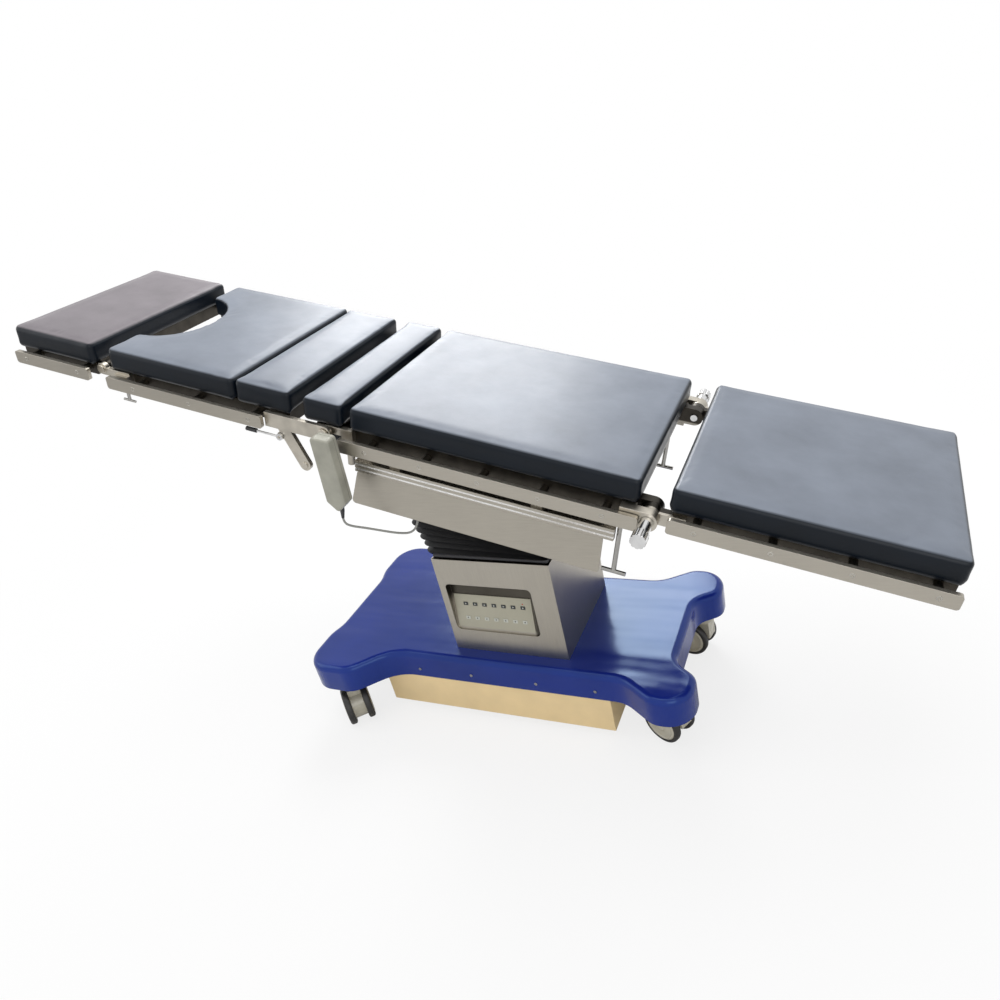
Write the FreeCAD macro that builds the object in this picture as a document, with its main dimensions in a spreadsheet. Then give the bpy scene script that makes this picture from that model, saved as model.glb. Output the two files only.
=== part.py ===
"""Operating table: tilting five-section top on a lifting column and a four-castor base.

Three frames are used. "ground" stands on the floor with X towards the leg end, Y across and Z up.
"head" starts on the tilt shaft and leans with the tabletop. "top" lies on the pad tops, above the
tilt shaft and square to it: X runs along the table, Z is square to the pads.
"""
import FreeCAD, Part

import math
import os
import re

import Sketcher

os.makedirs("parts", exist_ok=True)
doc = FreeCAD.newDocument("operating_table")

# Driving dimensions in millimetres and degrees
SIZES = {
    # Stance
    "column_x": 68.75,
    "tilt_axis_height": 570,
    "rest_tilt": 15.7,
    "top_over_axis": 273.5,
    # Pads, from the head end to the leg end
    "pad_width": 480,
    "pad_thick": 49,
    "pad_corner": 9,
    "pad_edge": 5,
    "head_length": 245,
    "head_gap": 45,
    "back_length": 355,
    "seam_gap": 3,
    "lumbar_length": 141,
    "bridge_gap": 32,
    "bridge_length": 96,
    "seat_gap": 16,
    "seat_length": 621,
    "leg_gap": 53,
    "leg_length": 497,
    "seat_start": -260,
    "cutout_depth": 103,
    "cutout_half": 136,
    "opening_lip": 6,
    # Section frames and side rails
    "plate_thick": 6,
    "frame_half": 228,
    "tube_wide": 20,
    "tube_deep": 26,
    "frame_inset": 9,
    "rail_high": 30,
    "rail_thick": 10,
    "rail_gap": 30,
    "rail_round": 6,
    "eye_thick": 12,
    "spacer_radius": 8,
    "spacer_inset": 34,
    "head_rail_top": 48,
    "back_rail_top": 55,
    "seat_rail_top": 62,
    "leg_rail_top": 48,
    "back_rail_short": 57,
    "seat_member_deep": 54,
    # Section hinges
    "pin_radius": 7,
    "pin_play": 0.05,
    "lug_radius": 14,
    "side_play": 1,
    "head_hinge_back": 23,
    "head_hinge_drop": 55,
    "back_hinge_ahead": 53,
    "back_hinge_drop": 66,
    "leg_hinge_ahead": 22,
    "leg_hinge_drop": 74,
    "arm_gap": 16,
    "arm_thick": 10,
    "arm_radius": 17,
    "drive_arm_long": 100,
    "drive_arm_slope": 60,
    "lever_long": 86,
    "lever_radius": 3,
    "lever_grip_radius": 5,
    "lever_grip_long": 26,
    "knuckle_in": 36,
    "knuckle_out": 28,
    "ear_thick": 20,
    "knuckle_radius": 20,
    "clamp_shaft_radius": 8,
    "clamp_sleeve_radius": 13,
    "clamp_sleeve_long": 40,
    "knob_radius": 15.5,
    "knob_long": 24,
    "flute_radius": 2.4,
    "flute_out": 1,
    # Clamp screws with cross bars
    "leg_screw_back": 31,
    "leg_screw_in": 8,
    "leg_screw_drop": 235,
    "leg_screw_radius": 5,
    "leg_bar_half": 25,
    "leg_bar_radius": 4.5,
    "head_screw_ahead": 36,
    "head_screw_out": 8,
    "head_screw_drop": 125,
    "head_screw_radius": 4,
    "head_bar_half": 17,
    "head_bar_radius": 3,
    # Kidney bridge
    "post_radius": 9,
    "post_side": 140,
    "post_long": 150,
    "guide_radius": 15,
    "guide_top": 62,
    "guide_long": 68,
    # Side covers and roll frame
    "cover_out": 7,
    "cover_thick": 3,
    "cover_ahead": 12,
    "cover_short": 58,
    "cover_lean": 20,
    "cover_top": 150,
    "cover_bottom": 238,
    "cover_round": 8,
    "lip_high": 6,
    "channel_top": 122,
    "channel_high": 26,
    "channel_wide": 14,
    "groove_low": 6,
    "groove_high": 17,
    "groove_wide": 3,
    "groove_deep": 2,
    "beam_in": 58,
    "beam_wide": 30,
    "beam_bottom": 163,
    # Roll joint above the tilt joint
    "roll_over_axis": 108.5,
    "roll_shaft_radius": 18,
    "roll_boss_radius": 30,
    "roll_lug_at": 74,
    "roll_lug_thick": 28,
    "roll_bearing_at": 160,
    "roll_bearing_thick": 24,
    # Tilt joint
    "tilt_shaft_radius": 18,
    "tilt_boss_radius": 34,
    "cheek_inner": 76,
    "cheek_thick": 22,
    "flange_over_axis": 44,
    "flange_thick": 8,
    "flange_half_long": 230,
    "flange_half_wide": 145,
    # Column
    "base_top": 197,
    "cover_half_long": 151,
    "cover_half_wide": 150,
    "column_cover_high": 272,
    "sheet_wall": 2,
    "recess_from": -134,
    "recess_to": 91,
    "recess_low": 62,
    "recess_high": 200,
    "recess_deep": 24,
    "recess_lip": 5,
    "recess_round": 12,
    "panel_thick": 3,
    "panel_margin": 8,
    "key_wide": 12,
    "key_high": 9,
    "key_proud": 1.5,
    "inlet_low": 30,
    "inlet_high": 62,
    "inlet_half": 24,
    "inlet_proud": 6,
    "flap_low": 34,
    "flap_high": 58,
    "flap_half": 18,
    "flap_proud": 9,
    "shroud_half_long": 143,
    "shroud_half_wide": 119,
    "shroud_low": 178,
    "head_plate_thick": 10,
    "mast_half": 56,
    "mast_wall": 6,
    "mast_play": 0.3,
    "mast_low": 150,
    "guide_wall": 8,
    "guide_low": 128,
    "guide_column_top": 400,
    "ram_radius": 20,
    "ram_low": 90,
    "cylinder_radius": 32,
    "cylinder_low": 40,
    "cylinder_top": 335,
    "bellows_half_long": 152,
    "bellows_half_wide": 147,
    "bellows_fold": 16,
    "bellows_skin": 2.5,
    "bellows_corner": 24,
    # Base
    "skirt_bottom": 123,
    "cover_wall": 5,
    "top_round": 16,
    "waist_half": 192,
    "waist_head": 326,
    "waist_foot": 290,
    "head_lobe_out": 559,
    "head_side_back": 14,
    "head_lobe_half": 283,
    "head_shoulder_back": 142,
    "head_lobe_in": 150,
    "head_side_in": 105,
    "foot_side_back": 56,
    "foot_side_in": 110,
    "foot_lobe_out": 452,
    "foot_lobe_in": 150,
    "foot_lobe_half": 246,
    "foot_shoulder_back": 86,
    "round_waist_head": 120,
    "round_waist_foot": 80,
    "round_shoulder_head": 60,
    "round_lobe_head": 70,
    "round_side_head": 100,
    "round_shoulder_foot": 50,
    "round_lobe_foot": 62,
    "round_lobe_in_foot": 40,
    "round_side_foot": 50,
    "chassis_low": 133,
    "chassis_high": 40,
    "chassis_beam": 40,
    "castor_beam": 32,
    "beam_side": 130,
    "beam_head_short": 10,
    "beam_foot_short": 16,
    "cover_post_radius": 16,
    "cover_post_head": 130,
    "cover_post_foot": 149,
    "castor_socket_below": 5,
    "castor_socket_above": 2,
    "pan_head": 371,
    "pan_foot": 252,
    "pan_half": 190,
    "pan_low": 25,
    "pan_wall": 2,
    "pan_rim_wide": 20,
    "pan_rim_thick": 2,
    "battery_in": 40,
    "battery_long": 200,
    "battery_half": 70,
    "battery_high": 80,
    "screw_radius": 4,
    "screw_proud": 1.5,
    "screw_up": 24,
    "screw_first": 70,
    "screw_second": 220,
    # Castors
    "castor_head_in": 85,
    "castor_head_y": 227,
    "castor_foot_in": 52,
    "castor_foot_y": 158,
    "wheel_radius": 50,
    "wheel_wide": 21,
    "wheel_inner": 18,
    "wheel_chamfer": 5,
    "fork_core_in": 13,
    "fork_neck_ahead": 12,
    "fork_neck_in": 6,
    "fork_neck_over": 4,
    "castor_trail": 32,
    "axle_radius": 6,
    "stem_radius": 12,
    "castor_turn_head_near": -46,
    "castor_turn_head_far": 200,
    "castor_turn_foot_near": 154,
    "castor_turn_foot_far": 167,
    "socket_radius": 24,
    "swivel_radius": 26,
    "swivel_top": 124,
    "swivel_low": 104,
    # Handset
    "handset_out": 32,
    "handset_thick": 30,
    "handset_ahead": 47,
    "handset_wide": 45,
    "handset_long": 154,
    "handset_slant": 30,
    "handset_top": 42,
    "handset_round": 8,
    "handset_edge": 5,
    "keypad_from": 25,
    "keypad_to": 46,
    "keypad_inset": 46,
    "keypad_thick": 1.5,
    "hook_from": 18,
    "hook_to": 40,
    "hook_thick": 3,
    "hook_over": 0.3,
    "hook_behind": 0.5,
    "hook_down": 20,
    "hook_lip_down": 6,
    "gland_collar": 5,
    "gland_collar_long": 20,
    "gland_collar_from": 19,
    "gland_mouth": 3.2,
    "gland_cone_long": 18,
    "gland_long": 37,
    "socket_ahead": 145,
    "socket_in": 21,
    "socket_low": 208,
    "socket_barrel": 10,
    "socket_barrel_long": 50,
    "bracket_from": 18,
    "bracket_to": 38,
    "cord_radius": 2.5,
}

# Sizes that follow from others, so that neighbours stay together
TIED = {
    "rail_out": "frame_half + rail_gap + rail_thick",
    "arm_inner": "frame_half + arm_gap",
    "knuckle_inner": "frame_half - knuckle_in",
    "knuckle_outer": "frame_half + knuckle_out",
    "clamp_sleeve_out": "frame_half + knuckle_out + clamp_sleeve_long",
    "leg_screw_side": "frame_half - leg_screw_in",
    "head_screw_side": "frame_half + head_screw_out",
    "cover_side": "frame_half + cover_out",
    "cover_start": "seat_start + cover_ahead",
    "cover_end": "seat_start + seat_length - cover_short",
    "beam_inner": "frame_half - beam_in",
    "handset_side": "frame_half + rail_gap + rail_thick + handset_out",
    "handset_start": "seat_start - handset_ahead",
    "socket_at": "seat_start + socket_ahead",
    "socket_side": "frame_half + cover_out - socket_in",
    "head_side": "head_lobe_out - head_side_back",
    "head_shoulder": "head_lobe_out - head_shoulder_back",
    "foot_side": "foot_lobe_out - foot_side_back",
    "foot_shoulder": "foot_lobe_out - foot_shoulder_back",
    "castor_head_x": "head_lobe_out - castor_head_in",
    "castor_foot_x": "foot_lobe_out - castor_foot_in",
}

# The spreadsheet of driving dimensions
sheet = doc.addObject("Spreadsheet::Sheet", "sizes")
for row, (alias, number) in enumerate(SIZES.items(), start=1):
    sheet.set(f"A{row}", alias)
    sheet.set(f"B{row}", str(number))
    sheet.setAlias(f"B{row}", alias)
doc.recompute()


def size(alias):
    """The number that an alias or a tied size stands for."""
    if alias not in TIED:
        return float(sheet.get(alias))
    total = 0.0
    sign = 1
    for word in TIED[alias].split():
        if word in ("+", "-"):
            sign = 1 if word == "+" else -1
        else:
            total += sign * size(word)
    return total


def formula(text):
    """An expression with tied sizes spelled out and each alias looked up in the spreadsheet."""
    text = re.sub(r"[a-z_]{3,}", lambda m: f"({TIED[m[0]]})" if m[0] in TIED else m[0], str(text))
    return re.sub(r"[a-z_]{3,}", lambda m: "sizes." + m[0] if m[0] in SIZES else m[0], text)


def bind(item, **properties):
    """Ties properties to expressions; two underscores stand for a dot."""
    for name, text in properties.items():
        item.setExpression(name.replace("__", "."), formula(text))


def span(low, high):
    return f"({high}) - ({low})"


# Frames that the sub-parts are placed in
FRAMES = {
    "ground": ("0", "0", "0"),
    "column": ("column_x", "0", "0"),
    "head": ("column_x", "tilt_axis_height", "rest_tilt"),
    "top": (
        "column_x + top_over_axis * sin(rest_tilt * 1deg)",
        "tilt_axis_height + top_over_axis * cos(rest_tilt * 1deg)",
        "rest_tilt",
    ),
}


def place(item, frame):
    """Puts a finished sub-part in its frame."""
    along, height, tilt = FRAMES[frame]
    bind(item, Placement__Base__x=along, Placement__Base__z=height)
    bind(item, Placement__Rotation__Axis__x="0", Placement__Rotation__Axis__y="1")
    bind(item, Placement__Rotation__Axis__z="0", Placement__Rotation__Angle=tilt)


def box(name, x, y, z):
    """A block between low and high expressions on each axis."""
    block = doc.addObject("Part::Box", name)
    bind(block, Length=span(*x), Width=span(*y), Height=span(*z))
    bind(block, Placement__Base__x=x[0], Placement__Base__y=y[0], Placement__Base__z=z[0])
    return block


TURNS = {"x": (0, 1, 0, 90), "y": (1, 0, 0, -90), "z": (0, 0, 1, 0)}


def rod(name, radius, length, start, axis="z", top_radius=None):
    """A round bar, or a cone if it has a second radius, from start along an axis."""
    round_bar = doc.addObject("Part::Cylinder" if top_radius is None else "Part::Cone", name)
    if top_radius is None:
        bind(round_bar, Radius=radius, Height=length)
    else:
        bind(round_bar, Radius1=radius, Radius2=top_radius, Height=length)
    *turn, angle = TURNS[axis]
    round_bar.Placement.Rotation = FreeCAD.Rotation(FreeCAD.Vector(*turn), angle)
    bind(round_bar, Placement__Base__x=start[0], Placement__Base__y=start[1])
    bind(round_bar, Placement__Base__z=start[2])
    return round_bar


def fuse(name, pieces):
    union = doc.addObject("Part::MultiFuse", name)
    union.Shapes = pieces
    union.Refine = True
    return union


def cut(name, base, tool):
    rest = doc.addObject("Part::Cut", name)
    rest.Base = base
    rest.Tool = tool
    rest.Refine = True
    return rest


def group(name, pieces):
    """Separate solids of one kind that share a node."""
    together = doc.addObject("Part::Compound", name)
    together.Links = pieces
    return together


nodes = []


def keep(item, name, frame=None):
    """Labels a finished sub-part, places it and lists it for export."""
    item.Label = name
    if frame:
        place(item, frame)
    nodes.append(item)
    return item


def body_of(name):
    return doc.addObject("PartDesign::Body", name)


def plane_of(body, role):
    return next(item for item in body.Origin.OriginFeatures if item.Role == role)


def trace(sketch, points):
    """Draws a closed outline whose corners are bound to pairs of expressions."""
    count = len(points)
    starts = []
    for k in range(count):
        turn = 2 * math.pi * k / count
        starts.append(FreeCAD.Vector(100 * math.cos(turn), 100 * math.sin(turn), 0))
    for k in range(count):
        sketch.addGeometry(Part.LineSegment(starts[k], starts[(k + 1) % count]))
    for k in range(count):
        sketch.addConstraint(Sketcher.Constraint("Coincident", k, 2, (k + 1) % count, 1))
    for k, (along, up) in enumerate(points):
        for kind, text, start in (("X", along, starts[k].x), ("Y", up, starts[k].y)):
            number = sketch.addConstraint(Sketcher.Constraint(f"Distance{kind}", -1, 1, k, 1, start))
            sketch.renameConstraint(number, f"{kind.lower()}_{k}")
            sketch.setExpression(f"Constraints.{kind.lower()}_{k}", formula(text))


def outline(body, name, points, role="XY_Plane", offset=None):
    """A closed outline whose corners are bound to pairs of expressions."""
    sketch = body.newObject("Sketcher::SketchObject", name)
    sketch.AttachmentSupport = (plane_of(body, role), [""])
    sketch.MapMode = "FlatFace"
    if offset is not None:
        bind(sketch, AttachmentOffset__Base__z=offset)
    trace(sketch, points)
    return sketch


def pad(body, name, sketch, length, reverse=False):
    solid = body.newObject("PartDesign::Pad", name)
    solid.Profile = sketch
    bind(solid, Length=length)
    solid.Reversed = reverse
    return solid


def pocket(body, name, sketch, length=None, reverse=False):
    """A pocket of a given depth, or right through."""
    hollow = body.newObject("PartDesign::Pocket", name)
    hollow.Profile = sketch
    hollow.Reversed = reverse
    if length is None:
        hollow.Type = "ThroughAll"
    else:
        bind(hollow, Length=length)
    return hollow


def fillet(body, name, base, wanted, radius):
    """Rounds the edges of a feature that a test picks out."""
    doc.recompute()
    chosen = [f"Edge{n}" for n, edge in enumerate(base.Shape.Edges, start=1) if wanted(edge)]
    rounded = body.newObject("PartDesign::Fillet", name)
    rounded.Base = (base, chosen)
    bind(rounded, Radius=radius)
    return rounded


def upright(edge):
    """Whether an edge stands straight along Z."""
    return edge.BoundBox.XLength < 0.01 and edge.BoundBox.YLength < 0.01


def level_at(height):
    """Picks the edges that lie flat at a height."""

    def lies_there(edge):
        low, high = edge.BoundBox.ZMin, edge.BoundBox.ZMax
        return abs(low - height) < 0.01 and abs(high - height) < 0.01

    return lies_there


def sides():
    """The near side, with low Y, and the far side."""
    return (("near", -1), ("far", 1))


def across(side, inner, outer):
    """A span on one side of the centre line, low end first."""
    if side > 0:
        return f"({inner})", f"({outer})"
    return f"-({outer})", f"-({inner})"


# Stations along the tabletop, all chained from the start of the seat pad
SEAT_END = "(seat_start + seat_length)"
BRIDGE_END = "(seat_start - seat_gap)"
BRIDGE_START = f"({BRIDGE_END} - bridge_length)"
LUMBAR_END = f"({BRIDGE_START} - bridge_gap)"
LUMBAR_START = f"({LUMBAR_END} - lumbar_length)"
BACK_END = f"({LUMBAR_START} - seam_gap)"
BACK_START = f"({BACK_END} - back_length)"
HEAD_END = f"({BACK_START} - head_gap)"
HEAD_START = f"({HEAD_END} - head_length)"
LEG_START = f"({SEAT_END} + leg_gap)"
LEG_END = f"({LEG_START} + leg_length)"
BRIDGE_MIDDLE = f"({BRIDGE_START} + bridge_length / 2)"
HEAD_HINGE = (f"({BACK_START} - head_hinge_back)", "-head_hinge_drop")
BACK_HINGE = (f"({SEAT_END} - seat_length - back_hinge_ahead)", "-back_hinge_drop")
LEG_HINGE = (f"({SEAT_END} + leg_hinge_ahead)", "-leg_hinge_drop")
UNDER_PAD = "-pad_thick"
UNDER_PLATE = "(-pad_thick - plate_thick)"


# Pads
def cushion(name, start, end):
    """An upholstered block with soft corners and edges."""
    body = body_of(name)
    half = "pad_width / 2"
    corners = ((start, f"-{half}"), (end, f"-{half}"), (end, half), (start, half))
    plan = outline(body, name + "_plan", corners, offset=UNDER_PAD)
    block = pad(body, name + "_block", plan, "pad_thick")
    soft = fillet(body, name + "_corners", block, upright, "pad_corner")
    fillet(body, name + "_edges", soft, level_at(0), "pad_edge")
    return body


def notch_tool(name, start, depth, half, low, high):
    """An elliptical bar that cuts the face opening out of the back section."""
    curve = doc.addObject("Part::Ellipse", name + "_curve")
    bind(curve, MajorRadius=half, MinorRadius=depth)
    curve.Placement.Rotation = FreeCAD.Rotation(FreeCAD.Vector(0, 0, 1), 90)
    bind(curve, Placement__Base__x=start, Placement__Base__z=low)
    bar = doc.addObject("Part::Extrusion", name)
    bar.Base = curve
    bar.Dir = FreeCAD.Vector(0, 0, 1)
    bar.DirMode = "Custom"
    bar.Solid = True
    bind(bar, LengthFwd=span(low, high))
    return bar


keep(cushion("head_pad", HEAD_START, HEAD_END), "head_pad", "top")
back_block = cushion("back_block", BACK_START, BACK_END)
face_opening = notch_tool("face_opening", BACK_START, "cutout_depth", "cutout_half", "-pad_thick - 1", "1")
keep(cut("back_pad", back_block, face_opening), "back_pad", "top")
keep(cushion("lumbar_pad", LUMBAR_START, LUMBAR_END), "lumbar_pad", "top")
keep(cushion("bridge_pad", BRIDGE_START, BRIDGE_END), "bridge_pad", "top")
keep(cushion("seat_pad", "seat_start", SEAT_END), "seat_pad", "top")
keep(cushion("leg_pad", LEG_START, LEG_END), "leg_pad", "top")


# Section frames: a plate on two side tubes and cross tubes
def side_tubes(name, start, end, depth, top=UNDER_PLATE):
    tubes = []
    for word, side in sides():
        width = across(side, "frame_half - tube_wide", "frame_half")
        tubes.append(box(f"{name}_tube_{word}", (start, end), width, (f"{top} - {depth}", top)))
    return tubes


def cross_tube(name, start, depth, top=UNDER_PLATE):
    width = ("-frame_half", "frame_half")
    return box(name, (start, f"{start} + tube_wide"), width, (f"{top} - {depth}", top))


def pad_plate(name, start, end):
    return box(name, (start, end), ("-frame_half", "frame_half"), (UNDER_PLATE, UNDER_PAD))


def lies_across(edge):
    """Whether an edge runs straight along Y."""
    return edge.BoundBox.XLength < 0.01 and edge.BoundBox.ZLength < 0.01


def side_form(name, corners, width, radius, role="XZ_Plane"):
    """A side view carried along Y through a width, with its corners rounded."""
    body = body_of(name + "_form")
    flat = outline(body, name + "_outline", corners, role, f"-({width[1]})")
    solid = pad(body, name + "_block", flat, span(*width))
    fillet(body, name + "_corners", solid, lies_across, radius)
    return body


def rail_pair(name, start, end, top, first, last, count):
    """The accessory rails on both sides, each on a row of round spacers."""
    pieces = []
    for word, side in sides():
        bar = across(side, "rail_out - rail_thick", "rail_out")
        low = f"-{top} - rail_high"
        corners = ((start, low), (end, low), (end, f"-{top}"), (start, f"-{top}"))
        pieces.append(side_form(f"{name}_{word}", corners, bar, "rail_round"))
        gap = across(side, "frame_half", "rail_out - rail_thick")
        for k in range(count):
            at = f"({first}) + (({last}) - ({first})) * {k} / {count - 1}"
            spot = (at, gap[0], f"-{top} - rail_high / 2")
            pieces.append(rod(f"{name}_{word}_spacer_{k}", "spacer_radius", span(*gap), spot, "y"))
    return group(name, pieces)


def eye_plate(name, hinge, strap, width, radius, bore=None):
    """A plate with a round eye at a hinge and a strap, which is given as spans along and square."""
    eye = crosswise(name + "_eye", radius, hinge, width)
    blank = fuse(name + "_blank", [eye, box(name + "_strap", strap[0], width, strap[1])])
    if bore is None:
        return blank
    return cut(name, blank, crosswise(name + "_bore", bore, hinge, past(width)))


def past(ends):
    """A span that runs out past both ends, for a cutting tool."""
    return ends[0] + " - 1", ends[1] + " + 1"


def crosswise(name, radius, centre, width):
    """A round bar along Y through a point of the side view."""
    return rod(name, radius, span(*width), (centre[0], width[0], centre[1]), "y")


HEAD_RAIL = (f"({HEAD_START} + 23)", f"({HEAD_END} + 4)")
BACK_RAIL = (f"({BACK_START} + 13)", f"({LUMBAR_END} - back_rail_short)")
LEG_RAIL = (f"({LEG_START} + 6)", f"({LEG_END} - 4)")
PIN_BORE = "pin_radius + pin_play"
SHAFT_BORE = "clamp_shaft_radius + pin_play"

# Head section frame: its eyes turn on the pins of the back section
HEAD_FRAME = (f"({HEAD_START} + frame_inset)", f"({HEAD_END} - frame_inset)")
pieces = [pad_plate("head_plate", *HEAD_FRAME)]
pieces += side_tubes("head", *HEAD_FRAME, "tube_deep")
pieces.append(cross_tube("head_cross_outer", HEAD_FRAME[0], "tube_deep"))
pieces.append(cross_tube("head_cross_inner", f"{HEAD_FRAME[1]} - tube_wide", "tube_deep"))
for word, side in sides():
    width = across(side, f"frame_half - 2 * side_play - eye_thick", "frame_half - 2 * side_play")
    eye_high = ("-head_hinge_drop - lug_radius", "-pad_thick - 2")
    strap = ((f"{HEAD_FRAME[1]} - tube_wide", HEAD_HINGE[0]), eye_high)
    pieces.append(eye_plate(f"head_eye_{word}", HEAD_HINGE, strap, width, "lug_radius", PIN_BORE))
keep(fuse("head_frame", pieces), "head_frame", "top")
ends = (f"{HEAD_RAIL[0]} + spacer_inset", f"{HEAD_RAIL[1]} - spacer_inset")
keep(rail_pair("head_rail", *HEAD_RAIL, "head_rail_top", *ends, 2), "head_rails", "top")

# Back section frame: open at the face opening, with the head hinge pins and two long hinge arms
BACK_FRAME = (f"({BACK_START} + frame_inset)", f"({LUMBAR_END} - frame_inset)")
back_plate = pad_plate("back_plate", *BACK_FRAME)
through_plate = past((UNDER_PLATE, UNDER_PAD))
plate_opening = notch_tool(
    "plate_opening", BACK_START, "cutout_depth + opening_lip", "cutout_half + opening_lip", *through_plate
)
pieces = [cut("back_plate_open", back_plate, plate_opening)]
pieces += side_tubes("back", *BACK_FRAME, "tube_deep")
pieces.append(cross_tube("back_cross_head", f"{BACK_START} + cutout_depth + 2 * frame_inset", "tube_deep"))
pieces.append(cross_tube("back_cross_lumbar", f"{LUMBAR_START} - tube_wide / 2", "tube_deep"))
pieces.append(cross_tube("back_cross_end", f"{BACK_FRAME[1]} - tube_wide", "tube_deep"))
ARM_START = f"({LUMBAR_END} - back_rail_short)"
DRIVE_TOP = (f"({LUMBAR_END} - 15)", "(-back_hinge_drop - 6)")
DRIVE_TIP = (
    f"({DRIVE_TOP[0]} + drive_arm_long * cos(drive_arm_slope * 1deg))",
    f"({DRIVE_TOP[1]} - drive_arm_long * sin(drive_arm_slope * 1deg))",
)
LEVER_PIVOT = (f"({LUMBAR_END} - 20)", "(-back_hinge_drop - 33)")
SOCKET = (f"({BACK_START} + head_screw_ahead - 18)", f"({BACK_START} + head_screw_ahead + 22)")
SOCKET_LOW = "(-back_rail_top - rail_high)"
for word, side in sides():
    width = across(side, "frame_half", f"frame_half + eye_thick")
    strap = ((HEAD_HINGE[0], SOCKET[1]), ("-head_hinge_drop - lug_radius", "-pad_thick - 2"))
    pieces.append(eye_plate(f"head_pin_eye_{word}", HEAD_HINGE, strap, width, "lug_radius"))
    width = across(side, f"frame_half - 3 * side_play - eye_thick", "frame_half + 1")
    pieces.append(crosswise(f"head_pin_{word}", "pin_radius", HEAD_HINGE, width))
    width = across(side, f"frame_half + eye_thick", f"frame_half + eye_thick + 5")
    pieces.append(crosswise(f"head_pin_cap_{word}", "pin_radius + 3", HEAD_HINGE, width))
    width = across(side, "frame_half - 6", "frame_half + 20")
    pieces.append(box(f"head_socket_{word}", SOCKET, width, (SOCKET_LOW, "-back_rail_top - 2")))
    width = across(side, "arm_inner", "arm_inner + arm_thick")
    strap = ((ARM_START, BACK_HINGE[0]), ("-back_hinge_drop - arm_radius", "-back_hinge_drop + arm_radius"))
    pieces.append(eye_plate(f"back_arm_{word}", BACK_HINGE, strap, width, "arm_radius", PIN_BORE))
    width = across(side, "frame_half", "arm_inner")
    strap = (ARM_START, f"{LUMBAR_END} - frame_inset - 8")
    pieces.append(box(f"arm_stand_{word}", strap, width, ("-back_hinge_drop - 14", "-back_hinge_drop + 10")))
    width = across(side, "arm_inner", "arm_inner + arm_thick")
    lever = box(f"drive_arm_{word}", ("0", "drive_arm_long"), width, ("-lug_radius", "lug_radius"))
    bind(lever, Placement__Rotation__Axis__x="0", Placement__Rotation__Axis__y="1")
    bind(lever, Placement__Rotation__Axis__z="0", Placement__Rotation__Angle="drive_arm_slope")
    lean = (
        f"{DRIVE_TOP[0]} - lug_radius * sin(drive_arm_slope * 1deg)",
        f"{DRIVE_TOP[1]} - lug_radius * cos(drive_arm_slope * 1deg)",
    )
    bind(lever, Placement__Base__x=lean[0], Placement__Base__z=lean[1])
    pieces.append(lever)
    pieces.append(crosswise(f"drive_eye_{word}", "lug_radius", DRIVE_TIP, width))
    width = across(side, "arm_inner + arm_thick", "arm_inner + arm_thick + 2")
    pieces.append(crosswise(f"drive_pin_{word}", "pin_radius", DRIVE_TIP, width))
width = across(-1, "arm_inner", "arm_inner + arm_thick")
pieces.append(crosswise("lever_lug", "lever_radius + 6", LEVER_PIVOT, width))
width = across(-1, "arm_inner", "arm_inner + arm_thick + 8")
pieces.append(crosswise("lever_pin", "lever_radius", LEVER_PIVOT, width))
back_solid = fuse("back_frame_blank", pieces)
holes = []
for word, side in sides():
    at = f"{side} * head_screw_side"
    spot = (f"{BACK_START} + head_screw_ahead", at, f"{SOCKET_LOW} - 1")
    holes.append(rod(f"head_screw_hole_{word}", "head_screw_radius + pin_play", "19", spot))
keep(cut("back_frame", back_solid, fuse("head_screw_holes", holes)), "back_frame", "top")
ends = (f"{BACK_START} + 90", f"{BACK_RAIL[1]} - spacer_inset")
keep(rail_pair("back_rail", *BACK_RAIL, "back_rail_top", *ends, 3), "back_rails", "top")

# Release lever of the back section, on the near side
width = across(-1, "arm_inner + arm_thick + 1", "arm_inner + arm_thick + 7")
eye = crosswise("lever_eye", "lever_radius + 5", LEVER_PIVOT, width)
lever_mid = "-(arm_inner + arm_thick + 4)"
start = (f"{LEVER_PIVOT[0]} - lever_long", lever_mid, LEVER_PIVOT[1])
stem = rod("lever_stem", "lever_radius - 0.5", "lever_long - lever_radius - 2", start, "x")
knob = rod("lever_grip", "lever_grip_radius", "lever_grip_long", start, "x")
width = (width[0] + " - 1", width[1] + " + 1")
bore = crosswise("lever_bore", "lever_radius + pin_play", LEVER_PIVOT, width)
keep(cut("back_lever", fuse("lever_blank", [eye, stem, knob]), bore), "back_lever", "top")

# Clamp screws with cross bars, under the head and leg joints
HEAD_SCREW = f"({BACK_START} + head_screw_ahead)"
LEG_SCREW = f"({SEAT_END} - leg_screw_back)"
for word, side in sides():
    at = f"{side} * head_screw_side"
    start = (HEAD_SCREW, at, "-head_screw_drop")
    stem = rod(f"head_stem_{word}", "head_screw_radius", f"head_screw_drop + {SOCKET_LOW} + 17", start)
    start = (f"{HEAD_SCREW} - head_bar_half", at, "-head_screw_drop")
    bar = rod(f"head_bar_{word}", "head_bar_radius", "2 * head_bar_half", start, "x")
    keep(fuse(f"head_clamp_{word}", [stem, bar]), f"head_clamp_{word}", "top")
for word, side in sides():
    at = f"{side} * leg_screw_side"
    start = (LEG_SCREW, at, "-leg_screw_drop")
    reach = "leg_screw_drop - pad_thick - plate_thick - seat_member_deep + 20"
    stem = rod(f"leg_stem_{word}", "leg_screw_radius", reach, start)
    start = (f"{LEG_SCREW} - leg_bar_half", at, "-leg_screw_drop")
    bar = rod(f"leg_bar_{word}", "leg_bar_radius", "2 * leg_bar_half", start, "x")
    keep(fuse(f"leg_clamp_{word}", [stem, bar]), f"leg_clamp_{word}", "top")

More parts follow.
